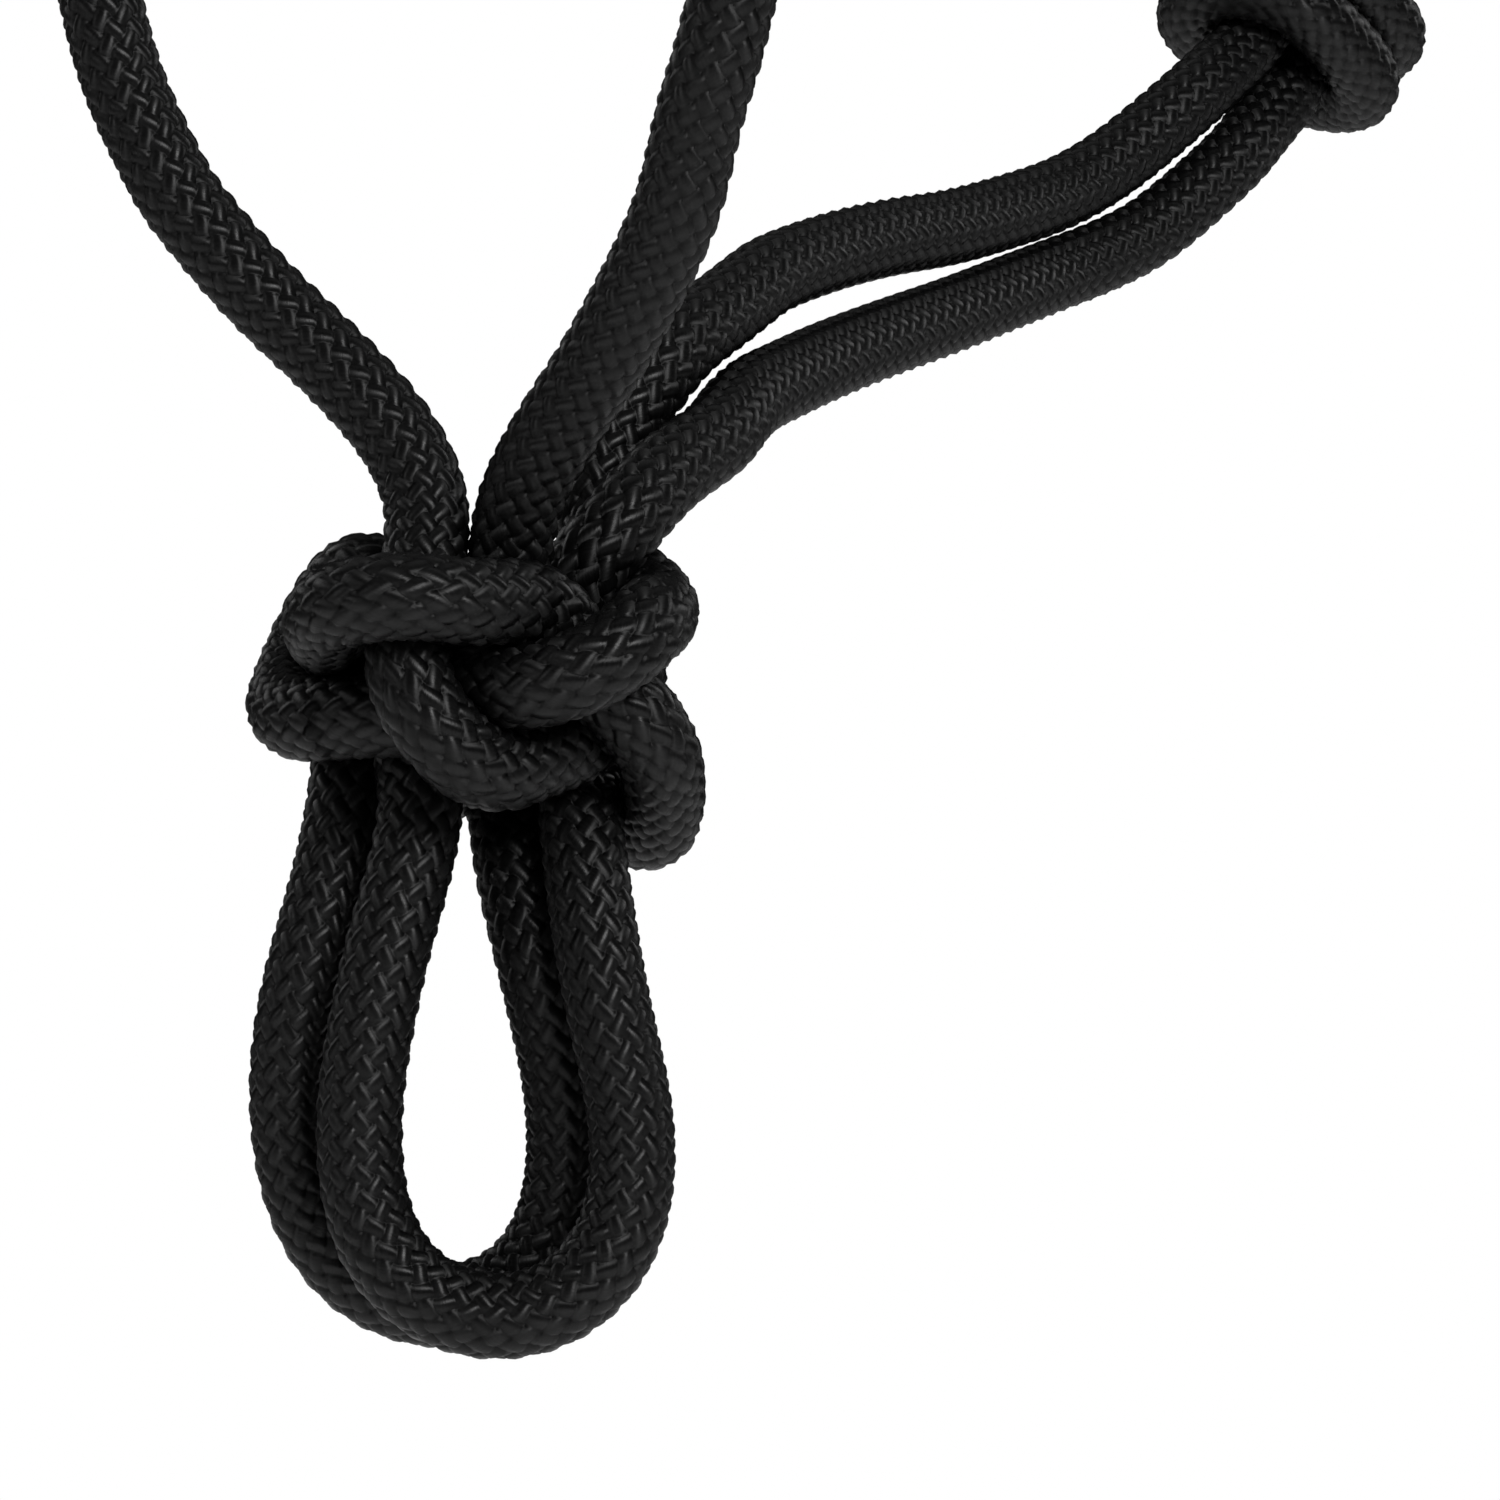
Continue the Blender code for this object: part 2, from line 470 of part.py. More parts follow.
# ------------------------------------------------------------------- objects
def plain_material(name, colour, roughness):
    mat = bpy.data.materials.new(name)
    mat.use_nodes = True
    bsdf = mat.node_tree.nodes["Principled BSDF"]
    bsdf.inputs["Base Color"].default_value = (*colour, 1.0)
    bsdf.inputs["Roughness"].default_value = roughness
    bsdf.inputs["Metallic"].default_value = 0.0
    return mat


def tube(name, centres, diameter, pivot, collection):
    """A cord run as a bevelled poly curve with filled caps, in metres."""
    at = np.zeros(3) if pivot is None else pivot
    curve = bpy.data.curves.new(name, "CURVE")
    curve.dimensions = "3D"
    curve.bevel_depth = 0.0005 * diameter
    curve.bevel_resolution = SIDES
    curve.use_fill_caps = True
    spline = curve.splines.new("POLY")
    spline.points.add(len(centres) - 1)
    for point, c in zip(spline.points, (centres - at) * 0.001):
        point.co = (*c, 1.0)
    obj = bpy.data.objects.new(name, curve)
    obj.location = at * 0.001
    collection.objects.link(obj)
    colour = (0.008, 0.008, 0.009) if "whipping" in name else (0.014, 0.014, 0.015)
    curve.materials.append(plain_material(name + "_cord", colour, 0.42))
    return obj


def main():
    for obj in list(bpy.data.objects):
        bpy.data.objects.remove(obj, do_unlink=True)
    halter = bpy.data.collections.new("rope_halter")
    bpy.context.scene.collection.children.link(halter)
    for name, (centres, diameter, pivot) in node_tubes().items():
        tube(name, centres, diameter, pivot, halter)


if __name__ == "__main__":
    main()
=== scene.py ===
import math

import bpy
import numpy as np
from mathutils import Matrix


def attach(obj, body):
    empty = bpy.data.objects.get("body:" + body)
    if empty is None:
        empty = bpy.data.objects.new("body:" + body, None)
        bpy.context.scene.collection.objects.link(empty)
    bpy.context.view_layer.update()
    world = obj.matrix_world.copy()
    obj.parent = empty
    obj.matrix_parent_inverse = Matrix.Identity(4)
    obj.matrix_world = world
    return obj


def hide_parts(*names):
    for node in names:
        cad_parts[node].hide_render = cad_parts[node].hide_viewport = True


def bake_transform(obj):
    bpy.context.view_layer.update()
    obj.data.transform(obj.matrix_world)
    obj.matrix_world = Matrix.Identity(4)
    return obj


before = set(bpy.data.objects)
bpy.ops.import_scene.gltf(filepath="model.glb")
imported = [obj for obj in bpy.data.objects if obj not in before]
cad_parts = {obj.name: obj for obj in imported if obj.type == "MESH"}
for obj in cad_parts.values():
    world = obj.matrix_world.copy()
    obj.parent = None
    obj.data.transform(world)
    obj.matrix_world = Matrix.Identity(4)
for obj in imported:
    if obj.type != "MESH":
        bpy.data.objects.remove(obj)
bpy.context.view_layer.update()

# The halter's look: one continuous braided cord, drawn along the same route
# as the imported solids. Route lengths are in millimetres up to the meshes,
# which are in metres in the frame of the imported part.

# ---------------------------------------------------------------- dimensions
CORD = 6.4            # cord diameter, mm
KNOT_CORD = 5.9       # the cord's thickness where a knot squeezes it, mm
GAP = 0.3             # clear gap between touching cords and between cut faces
STEP = 0.3 * CORD     # spacing of the points that routes are worked with
KNOT_REACH = 3.3 * CORD   # half the length of a pass through an overhand knot

FIADOR = np.array([25.0, 0.0, -462.0])      # middle of the fiador knot
CHIN = np.array([153.0, 0.0, -396.0])       # middle of the chin knot
CHEEK = np.array([208.0, 62.0, -343.5])     # left cheek knot; the right one mirrors it
THROAT = np.array([18.0, 88.0, -190.0])     # left throat knot; the right one mirrors it
NOSE = np.array([298.0, 0.0, -292.0])       # middle of the noseband
TAIL_END = -452.0                           # height of the tips of the hanging tails
WHIP = 16.0                                 # length of the whipped, heat-sealed tail end

# The fiador knot is laid out on a drawing sheet that stands in front of it:
# x to the right, y down, SHEET steps to the millimetre at the middle of the
# knot, seen from an eye EYE mm in front of the sheet's middle. The sheet is
# turned AZ degrees off the halter's plane of symmetry. A third number on each
# route point is the lift towards the eye, in cord diameters.
AZ = math.radians(35.0)
EYE = 400.0
SHEET = 85.0 / CORD
MID = (750.0, 750.0)
KNOT_XY = (475.0, 690.0)
FWD = np.array([math.cos(AZ), math.sin(AZ), 0.0])
RIGHT = np.array([math.sin(AZ), -math.cos(AZ), 0.0])
UP = np.array([0.0, 0.0, 1.0])
SHEET_MID = FIADOR - RIGHT * (KNOT_XY[0] - MID[0]) / SHEET + UP * (KNOT_XY[1] - MID[1]) / SHEET


def on_sheet(rows):
    """Route points (x, y, lift) on the sheet, as world points in mm."""
    out = []
    for x, y, lift in rows:
        near = lift * CORD
        s = (EYE - near) / EYE / SHEET
        out.append(SHEET_MID + RIGHT * (x - MID[0]) * s + UP * (MID[1] - y) * s - FWD * near)
    return np.array(out)


# ------------------------------------------------------------ smooth routes
def resample(points, step):
    """The same polyline with its points an equal step apart."""
    points = np.asarray(points, float)
    run = np.concatenate([[0.0], np.cumsum(np.linalg.norm(np.diff(points, axis=0), axis=1))])
    n = max(2, int(round(run[-1] / step)) + 1)
    at = np.linspace(0.0, run[-1], n)
    return np.stack([np.interp(at, run, points[:, k]) for k in range(3)], axis=1)


def smooth_route(rows, step=STEP):
    """A centripetal Catmull-Rom curve through the rows."""
    p = np.asarray(rows, float)
    p = np.vstack([2 * p[0] - p[1], p, 2 * p[-1] - p[-2]])
    out = []
    for i in range(1, len(p) - 2):
        p0, p1, p2, p3 = p[i - 1:i + 3]
        t0 = 0.0
        t1 = t0 + max(np.linalg.norm(p1 - p0), 1e-6) ** 0.5
        t2 = t1 + max(np.linalg.norm(p2 - p1), 1e-6) ** 0.5
        t3 = t2 + max(np.linalg.norm(p3 - p2), 1e-6) ** 0.5
        for t in np.linspace(t1, t2, 24, endpoint=False):
            a1 = (t1 - t) / (t1 - t0) * p0 + (t - t0) / (t1 - t0) * p1
            a2 = (t2 - t) / (t2 - t1) * p1 + (t - t1) / (t2 - t1) * p2
            a3 = (t3 - t) / (t3 - t2) * p2 + (t - t2) / (t3 - t2) * p3
            b1 = (t2 - t) / (t2 - t0) * a1 + (t - t0) / (t2 - t0) * a2
            b2 = (t3 - t) / (t3 - t1) * a2 + (t - t1) / (t3 - t1) * a3
            out.append((t2 - t) / (t2 - t1) * b1 + (t - t1) / (t2 - t1) * b2)
    out.append(p[-2])
    return resample(out, step)


def settle(strands, hold, rounds, radii, slack=0.5, stiff=0.15, window=1.75 * CORD):
    """Draws strands taut round each other without letting them overlap. radii
    are the cord's radii at the points, and hold is how firmly each point keeps
    its place, as rows of (x, y, z) weights."""
    sizes = [len(s) for s in strands]
    p = np.vstack(strands).astype(float)
    h = np.vstack(hold)
    home = p.copy()
    strand = np.repeat(np.arange(len(sizes)), sizes)
    index = np.concatenate([np.arange(n) for n in sizes])
    ids = np.nonzero(np.concatenate([(np.arange(n) > 0) & (np.arange(n) < n - 1) for n in sizes]))[0]
    ids2 = np.nonzero(np.concatenate([(np.arange(n) > 1) & (np.arange(n) < n - 2) for n in sizes]))[0]
    near_by = int(round(window / STEP))
    apart_pairs = (strand[:, None] != strand[None, :]) | (np.abs(index[:, None] - index[None, :]) > near_by)
    apart_pairs &= np.arange(len(p))[:, None] < np.arange(len(p))[None, :]
    r = np.concatenate(radii)
    for k in range(rounds):
        last = k >= rounds * 0.8
        held = h * (0.25 if last else 1.0)
        free = 1.0 - held
        if k % 8 == 0:
            dist = np.sqrt(((p[:, None, :] - p[None, :, :]) ** 2).sum(-1))
            i, j = np.nonzero(apart_pairs & (dist < 1.5 * CORD))
            apart = r[i] + r[j] + GAP + 0.2
        pull = slack * 0.1 if last else slack
        lap = np.zeros_like(p)
        lap[ids] = 0.5 * (p[ids - 1] + p[ids + 1]) - p[ids]
        bend = np.zeros_like(p)
        bend[ids2] = -(p[ids2 - 2] - 4 * p[ids2 - 1] + 6 * p[ids2] - 4 * p[ids2 + 1] + p[ids2 + 2])
        p = p + (pull * lap + stiff * bend) * free
        p = p + held * (home - p)
        for _ in range(8 if last else 4):
            gap = p[i] - p[j]
            d = np.sqrt((gap ** 2).sum(-1))
            over = np.maximum(apart - d, 0.0)
            if not over.any():
                break
            push = gap * (over / np.maximum(d, 1e-6))[:, None]
            hits = np.bincount(i, over > 0, len(p)) + np.bincount(j, over > 0, len(p))
            move = np.stack([np.bincount(i, push[:, c], len(p)) - np.bincount(j, push[:, c], len(p))
                             for c in range(3)], axis=1)
            p = p + 0.9 * move / np.maximum(hits, 1.6)[:, None]
    return np.split(p, np.cumsum(sizes)[:-1])


# ------------------------------------------------------- doubled overhand knot
def doubled_overhand():
    """Two cords tied together in one overhand knot that runs along +X. Each
    comes in at -X and leaves at +X. Returns the two settled centre lines."""
    rows = [(-9.0, 0.0, 0.0), (-5.5, 0.1, 0.0), (-3.0, 0.7, 0.0), (0.0, 1.05, 0.0), (2.4, 1.2, 0.0)]
    turns = np.linspace(28.0, 512.0, 15)
    for n, a in enumerate(turns):
        f = n / (len(turns) - 1)
        rows.append((3.0 - 6.0 * f, 2.6 * math.cos(math.radians(a)), 2.6 * math.sin(math.radians(a))))
    rows += [(-2.4, -1.2, 0.0), (0.0, -1.05, 0.0), (3.0, -0.7, 0.0), (5.5, -0.1, 0.0), (9.0, 0.0, 0.0)]
    mid = smooth_route(np.array(rows) * CORD)
    tangent = np.gradient(mid, axis=0)
    tangent /= np.linalg.norm(tangent, axis=1)[:, None]
    radial = mid * np.array([0.0, 1.0, 1.0])
    size = np.linalg.norm(radial, axis=1)[:, None]
    radial = radial / np.maximum(size, 1e-6)
    n = len(mid)
    f = np.arange(n) / (n - 1)
    radial[:6] = (0.0, 1.0, 0.0)
    radial[-6:] = (0.0, -1.0, 0.0)
    side = np.cross(radial, tangent)
    for _ in range(12):
        side[1:-1] = (side[:-2] + side[1:-1] + side[2:]) / 3
    side -= (side * tangent).sum(1)[:, None] * tangent
    side /= np.linalg.norm(side, axis=1)[:, None]
    a = mid + side * 0.53 * CORD
    b = mid - side * 0.53 * CORD
    hold = np.zeros((n, 3))
    hold[:3] = 1.0
    hold[-3:] = 1.0
    radii = np.where(np.abs(mid[:, 0]) < KNOT_REACH, KNOT_CORD, CORD) / 2
    a, b = settle([a, b], [hold, hold], 500, [radii, radii], slack=0.5, stiff=0.06)
    return a, b


def place(points, at, along, roll, mirror=False):
    """Moves a knot that runs along +X to a place in the halter."""
    along = np.asarray(along, float) / np.linalg.norm(along)
    side = np.cross(UP, along) if abs(along[2]) < 0.9 else np.cross(np.array([1.0, 0.0, 0.0]), along)
    side /= np.linalg.norm(side)
    top = np.cross(along, side)
    c, s = math.cos(math.radians(roll)), math.sin(math.radians(roll))
    y, z = c * side + s * top, -s * side + c * top
    out = points[:, :1] * along + points[:, 1:2] * y + points[:, 2:] * z + at
    return out * np.array([1.0, -1.0, 1.0]) if mirror else out


# ----------------------------------------------------------------- fiador knot
# Each strand runs from the cord above the knot, through it, to one leg of a
# lead loop. The four strands pass each other as in a four-strand diamond knot.
LEFT_THROAT = [
    (181, 200, -1.1), (222, 250, -1.0), (269, 302, -0.9), (311, 341, -0.8), (354, 384, -0.6), (394, 429, -0.5),
    (422, 477, -0.4), (433, 514, -0.35), (440, 560, -0.35), (428, 605, -0.1), (404, 655, 0.8), (415, 698, 1.2),
    (445, 732, 1.2), (490, 747, 1.1), (545, 741, 0.7), (598, 733, -0.1), (616, 722, -1.0), (580, 712, -1.85),
    (510, 722, -2.2), (440, 732, -2.0), (385, 738, -1.4), (355, 768, -0.7), (344, 820, -0.35), (330, 889, -0.3),
    (312, 953, -0.35)]
LEFT_CHIN = [
    (763, 279, -4.7), (718, 315, -3.7), (682, 346, -2.9), (645, 392, -2.4), (612, 445, -2.0), (590, 500, -1.8),
    (585, 550, -1.75), (602, 592, -1.7), (626, 612, -1.15), (636, 638, -0.1), (618, 656, 0.85), (580, 672, 1.4),
    (520, 689, 1.3), (470, 700, 0.55), (425, 712, 0.05), (380, 714, 0.1), (335, 708, 0.25), (302, 704, -0.3),
    (312, 672, -1.3), (335, 625, -1.8), (345, 585, -1.2), (362, 566, -0.6), (395, 580, -0.75), (418, 625, -0.85),
    (425, 690, -0.85),
    (425, 745, -0.45), (424, 790, 0.0), (418, 830, 0.25), (404, 889, 0.35), (386, 953, 0.4)]
RIGHT_THROAT = [
    (679, 202, 2.4), (660, 250, 2.1), (636, 296, 1.85), (615, 336, 1.6), (590, 379, 1.25), (561, 421, 0.9),
    (536, 464, 0.55), (515, 510, 0.25), (503, 560, -0.05), (500, 610, -0.15), (508, 665, -0.3), (505, 715, -0.8),
    (465, 738, -1.5), (412, 725, -2.1), (380, 680, -2.4), (395, 640, -2.7), (445, 640, -3.0), (510, 665, -3.1),
    (570, 692, -2.7), (603, 722, -1.7), (606, 760, -0.6), (594, 795, -0.05), (582, 838, 0.3), (591, 911, 0.4),
    (602, 975, 0.4)]
RIGHT_CHIN = [
    (781, 382, -4.3), (736, 404, -3.1), (696, 440, -2.0), (665, 471, -1.4), (638, 510, -0.9), (616, 550, -0.7),
    (600, 590, -0.7), (590, 640, -0.9), (588, 700, -1.3), (598, 738, -1.85), (618, 768, -1.6), (636, 770, -1.05),
    (640, 735, -0.5), (625, 700, 0.0), (590, 662, 0.35), (545, 630, 0.95), (490, 614, 1.5), (440, 606, 1.6),
    (385, 608, 1.4), (340, 622, 0.9), (328, 636, 0.2), (338, 652, -0.5), (375, 678, -1.4), (430, 700, -1.8),
    (475, 728, -1.4), (500, 780, -1.0), (508, 850, -0.6), (528, 920, -0.45), (545, 990, -0.45)]
FRONT_LOOP = [
    (373, 1017, 0.45), (362, 1081, 0.5), (359, 1145, 0.5), (366, 1205, 0.55), (389, 1262, 0.6), (434, 1302, 0.6),
    (496, 1318, 0.6), (558, 1304, 0.6), (603, 1266, 0.6), (627, 1213, 0.55), (633, 1150, 0.5), (628, 1095, 0.45),
    (615, 1039, 0.45)]
REAR_LOOP = [
    (297, 1022, -0.4), (291, 1090, -0.45), (298, 1165, -0.5), (319, 1228, -0.55), (360, 1278, -0.58), (412, 1303, -0.6),
    (462, 1306, -0.6), (508, 1290, -0.58), (544, 1252, -0.55), (564, 1200, -0.5), (569, 1140, -0.5), (566, 1090, -0.45),
    (558, 1045, -0.45)]


def fiador_strands():
    """The four strands of the knot with both lead loops on them, settled."""
    front = smooth_route(on_sheet(LEFT_CHIN + FRONT_LOOP + RIGHT_THROAT[::-1]))
    rear = smooth_route(on_sheet(LEFT_THROAT + REAR_LOOP + RIGHT_CHIN[::-1]))
    to_view = np.stack([RIGHT, UP, -FWD])
    strands = [(s - FIADOR) @ to_view.T for s in (front, rear)]
    hold, radii = [], []
    for s in strands:
        h = np.zeros((len(s), 3))
        seen = np.clip((s[:, 2] / CORD + 1.9) / 0.8, 0.0, 1.0)
        h[:, :2] = (0.02 + 0.13 * seen)[:, None]
        h[:, 2] = 0.01
        out = (s[:, 1] < -20.0) | (s[:, 1] > 22.0)
        h[out] = 0.3
        hold.append(h)
        radii.append(np.where(np.abs(s[:, 1]) < 12.0, KNOT_CORD, CORD) / 2)
    strands = settle(strands, hold, 320, radii, slack=0.3, stiff=0.05, window=2.0 * CORD)
    return [s @ to_view + FIADOR for s in strands]


# Both chin strands run forward, side by side, to the chin knot.
CHIN_HIGH = [
    (821, 255, -6.0), (883, 238.5, -7.4), (950, 227, -8.9), (1010, 210.5, -10.3), (1068, 189.5, -11.5),
    (1116, 160.5, -12.25)]
CHIN_LOW = [
    (834, 358, -5.7), (892, 336, -7.1), (950, 315.5, -8.5), (1004, 294.5, -9.8), (1053, 275.5, -11.0),
    (1104, 255.5, -11.8), (1150, 231, -12.5)]
LEFT_THROAT_UP = [(152, 146, -1.2), (131, 102, -1.3), (113, 50, -1.35), (101, 0, -1.4)]
RIGHT_THROAT_UP = [(692, 146, 2.6), (702, 104, 2.8), (715, 64, 2.95), (731, 0, 3.1)]

# Where each doubled overhand knot sits, the way it runs, and its roll.
CHIN_RUN, CHIN_ROLL, CHIN_TURN = (0.84, 0.0, 0.54), -12.0, -1.0
CHEEK_RUN, CHEEK_ROLL = (0.98, -0.05, 0.14), 0.0
THROAT_RUN, THROAT_ROLL = (0.0, -0.06, 1.0), 0.0
TIE = np.array([15.0, 111.0, -160.0])       # stopper knot that ties the crown off
TIE_RUN, TIE_ROLL = (0.0, 0.12, -1.0), 0.0
LOOP_CUT = FIADOR[2] - 13.0                 # the fixed legs of the lead loops end here
TAIL_SWING = 2.6                            # gap that lets the tails swing


def flip(points):
    return np.asarray(points) * np.array([1.0, -1.0, 1.0])


def bridge(start, guide, end, out=4.5, into=4.5):
    """A run from the last points of one pass to the first points of the next.
    It goes straight on for out mm, and comes in straight for the last into mm."""
    ahead = (start[-1] - start[-4]) / np.linalg.norm(start[-1] - start[-4]) * out
    behind = (end[3] - end[0]) / np.linalg.norm(end[3] - end[0]) * into
    rows = [start[[-9, -5, -1]], np.reshape(guide, (-1, 3)), [end[0] - behind], end[[0, 4, 8]]]
    if out:
        rows.insert(1, [start[-1] + ahead])
    rows = np.vstack(rows)
    run = smooth_route(rows)
    lo = np.linalg.norm(run - start[-1], axis=1).argmin()
    hi = np.linalg.norm(run - end[0], axis=1).argmin()
    run = run[lo:hi + 1]
    run[0], run[-1] = start[-1], end[0]
    return run


def part_at(points, test):
    """The first index at which test holds."""
    return int(np.nonzero(test(points))[0][0])


def halter_runs():
    """Every run and knot pass of the cord: {name: centre line in mm}."""
    front, rear = fiador_strands()
    a, b = doubled_overhand()
    inside = [np.nonzero(np.abs(line[:, 0]) < KNOT_REACH)[0] for line in (a, b)]
    a, b = (line[i[0]:i[-1] + 1] for line, i in zip((a, b), inside))

    chin = [place(k * np.array([1.0, CHIN_TURN, 1.0]), CHIN, CHIN_RUN, CHIN_ROLL) for k in (a, b)]
    cheek = {"left": [place(k, CHEEK, CHEEK_RUN, CHEEK_ROLL) for k in (a, b)]}
    throat = {"left": [place(k, THROAT, THROAT_RUN, THROAT_ROLL) for k in (a, b)]}
    cheek["right"] = [flip(k) for k in cheek["left"]]
    throat["right"] = [flip(k) for k in throat["left"]]
    tie = [place(k, TIE, TIE_RUN, TIE_ROLL) for k in (a, b)]

    out = {}
    # The fiador knot: each strand is cut where it leaves the knot.
    top, low = FIADOR[2] + 12.0, LOOP_CUT
    for name, line, up_name, down_name in (("front", front, "left_chin", "right_throat"),
                                           ("rear", rear, "left_throat", "right_chin")):
        i0 = part_at(line, lambda p: p[:, 2] < top)
        i1 = part_at(line, lambda p: p[:, 2] < low)
        j1 = len(line) - part_at(line[::-1], lambda p: p[:, 2] < low) - 1
        j0 = len(line) - part_at(line[::-1], lambda p: p[:, 2] < top) - 1
        out["fiador_" + up_name + "_pass"] = line[i0:i1 + 1]
        out["fiador_" + down_name + "_pass"] = line[j1:j0 + 1][::-1]
        out["lead_loop_" + name] = line[i1:j1 + 1]
        out[up_name + "_lead"] = line[:i0 + 1]
        out[down_name + "_lead"] = line[j0:][::-1]

    # Chin strands: from the fiador knot to the chin knot.
    for name, guide, pass_in in (("left_chin", CHIN_HIGH, chin[1]), ("right_chin", CHIN_LOW, chin[0])):
        lead = out.pop(name + "_lead")
        run = bridge(lead[::-1], on_sheet(guide), pass_in, out=0.0)
        out["chin_strand_" + name.split("_")[0]] = np.vstack([lead[::-1], run[1:]])
    out["chin_knot_upper_pass"], out["chin_knot_lower_pass"] = chin[1], chin[0]

    for side, turn in (("left", np.array([1.0, 1.0, 1.0])), ("right", np.array([1.0, -1.0, 1.0]))):
        chin_pass = chin[0] if side == "left" else chin[1]
        # Jaw strand: chin knot to the lower lead of the cheek knot.
        guide = [np.array([178.5, 10.5, -378.5]) * turn, np.array([179.0, 26.0, -371.5]) * turn,
                 np.array([175.5, 43.0, -363.5]) * turn, np.array([175.0, 58.0, -356.0]) * turn]
        out["jaw_strand_" + side] = bridge(chin_pass, guide, cheek[side][0])
        out["cheek_knot_%s_jaw_pass" % side] = cheek[side][0]
        out["cheek_knot_%s_cheek_pass" % side] = cheek[side][1]
        # Cheek piece: throat knot's front lead down to the cheek knot's upper lead.
        out["cheek_piece_" + side] = bridge(throat[side][1][::-1], [
            np.array([31.0, 88.0, -224.0]) * turn, np.array([66.0, 86.5, -247.0]) * turn,
            np.array([104.0, 81.5, -274.0]) * turn, np.array([138.0, 74.5, -305.0]) * turn,
            np.array([163.0, 68.0, -331.0]) * turn], cheek[side][1])
        out["throat_knot_%s_throat_pass" % side] = throat[side][0]
        out["throat_knot_%s_cheek_pass" % side] = throat[side][1]
        # Throat strand: throat knot's rear lead down to the fiador knot.
        lead = out.pop(side + "_throat_lead")
        guide = on_sheet(LEFT_THROAT_UP if side == "left" else RIGHT_THROAT_UP)
        upper = [np.array([17.0, 42.0, -366.0]) * turn, np.array([13.0, 62.0, -306.0]) * turn,
                 np.array([12.0, 77.0, -254.0]) * turn]
        run = bridge(lead[::-1], np.vstack([guide, upper]), throat[side][0], out=0.0)
        out["throat_strand_" + side] = np.vstack([lead[::-1], run[1:]])

    # Noseband: two cords side by side over the nose, from knot to knot.
    for name, k, lift in (("upper", 0, 4.1), ("lower", 1, -4.1)):
        across = np.array([-0.55, 0.0, 0.83]) * lift
        half = [np.array(p) + across for p in ((251.0, 57.5, -328.0), (277.5, 43.0, -307.0), (293.5, 20.5, -295.0))]
        guide = half + [NOSE + across] + [flip(p) for p in half[::-1]]
        out["noseband_" + name] = bridge(cheek["left"][k], guide, cheek["right"][k][::-1])

    # Crown: two cords from the right throat knot over the poll to the tie knot.
    for name, k, off in (("front", 0, 3.5), ("rear", 1, -3.5)):
        o = np.array([off, 0.0, 0.0])
        r = 0.5 * CORD
        guide = [np.array(p) + o for p in (
            (14.0, -97.0, -130.0), (9.0, -95.0, -88.0), (4.0, -78.0, -42.0), (1.0, -44.0, -11.0 + r), (0.0, 0.0, r),
            (1.0, 44.0, -11.0 + r), (5.0, 74.0, -42.0), (11.0, 79.0, -80.0), (15.0, 80.5, -104.0),
            (15.0, 89.0, -119.0), (15.0, 101.0, -127.0))]
        t = tie[1] if name == "front" else tie[0]
        out["crown_strand_" + name] = bridge(throat["right"][k], guide, t)
    out["tie_knot_rear_pass"], out["tie_knot_front_pass"] = tie

    # Crown eye loop on the left, a bight that the crown cords pass through.
    x, y, z = THROAT
    loop = [(x + 9.5, y - 0.5, z + 46.0), (x + 12.5, y + 0.5, z + 65.0), (x + 8.5, y + 1.0, z + 82.0),
            (x - 1.5, y + 1.0, z + 90.0), (x - 11.5, y + 1.0, z + 82.0), (x - 15.5, y + 0.5, z + 65.0),
            (x - 10.5, y - 0.5, z + 46.0)]
    out["crown_eye_loop"] = bridge(throat["left"][0], loop, throat["left"][1][::-1])

    # Hanging tails below the tie knot, side by side, with their whipped tips.
    for name, t, dx in (("front", tie[0], 5.5), ("rear", tie[1], -5.5)):
        x0, y0, z0 = t[-1]
        sx = 1.0 if t[-1][0] > TIE[0] else -1.0
        low = TAIL_END + (0.0 if name == "front" else 18.0)
        guide = [(TIE[0] + sx * 3.8, y0 + 1.0, z0 - 18.0), (TIE[0] + sx * 4.5, y0 + 2.0, z0 - 80.0),
                 (TIE[0] + sx * 7.0, y0 + 1.0, z0 - 160.0), (TIE[0] + sx * 8.5, y0 - 1.0, (low + z0 - 160.0) / 2)]
        rows = np.vstack([t[[-9, -5, -1]], guide, [(TIE[0] + sx * 9.5, y0 - 2.0, low)]])
        run = smooth_route(rows)
        run = run[np.linalg.norm(run - t[-1], axis=1).argmin():]
        cut = part_at(run, lambda p: p[:, 2] < low + WHIP)
        out["tail_" + name] = run[:cut + 1]
        out["tail_whipping_" + name] = run[cut:]
    return out


# The nodes of the two tails below the tie knot and their whipped tips.
TAIL_NODES = ("tail_front", "tail_rear", "tail_whipping_front", "tail_whipping_rear")


# ---------------------------------------------------------- one long cord line
ORDER = [
    "tail_whipping_front", "tail_front", "tie_knot_rear_pass", "crown_strand_rear", "throat_knot_right_cheek_pass",
    "cheek_piece_right", "cheek_knot_right_cheek_pass", "noseband_lower", "cheek_knot_left_cheek_pass",
    "cheek_piece_left", "throat_knot_left_cheek_pass", "crown_eye_loop", "throat_knot_left_throat_pass",
    "throat_strand_left", "fiador_left_throat_pass", "lead_loop_rear", "fiador_right_chin_pass", "chin_strand_right",
    "chin_knot_lower_pass", "jaw_strand_left", "cheek_knot_left_jaw_pass", "noseband_upper",
    "cheek_knot_right_jaw_pass", "jaw_strand_right", "chin_knot_upper_pass", "chin_strand_left",
    "fiador_left_chin_pass", "lead_loop_front", "fiador_right_throat_pass", "throat_strand_right",
    "throat_knot_right_throat_pass", "crown_strand_front", "tie_knot_front_pass", "tail_rear", "tail_whipping_rear"]

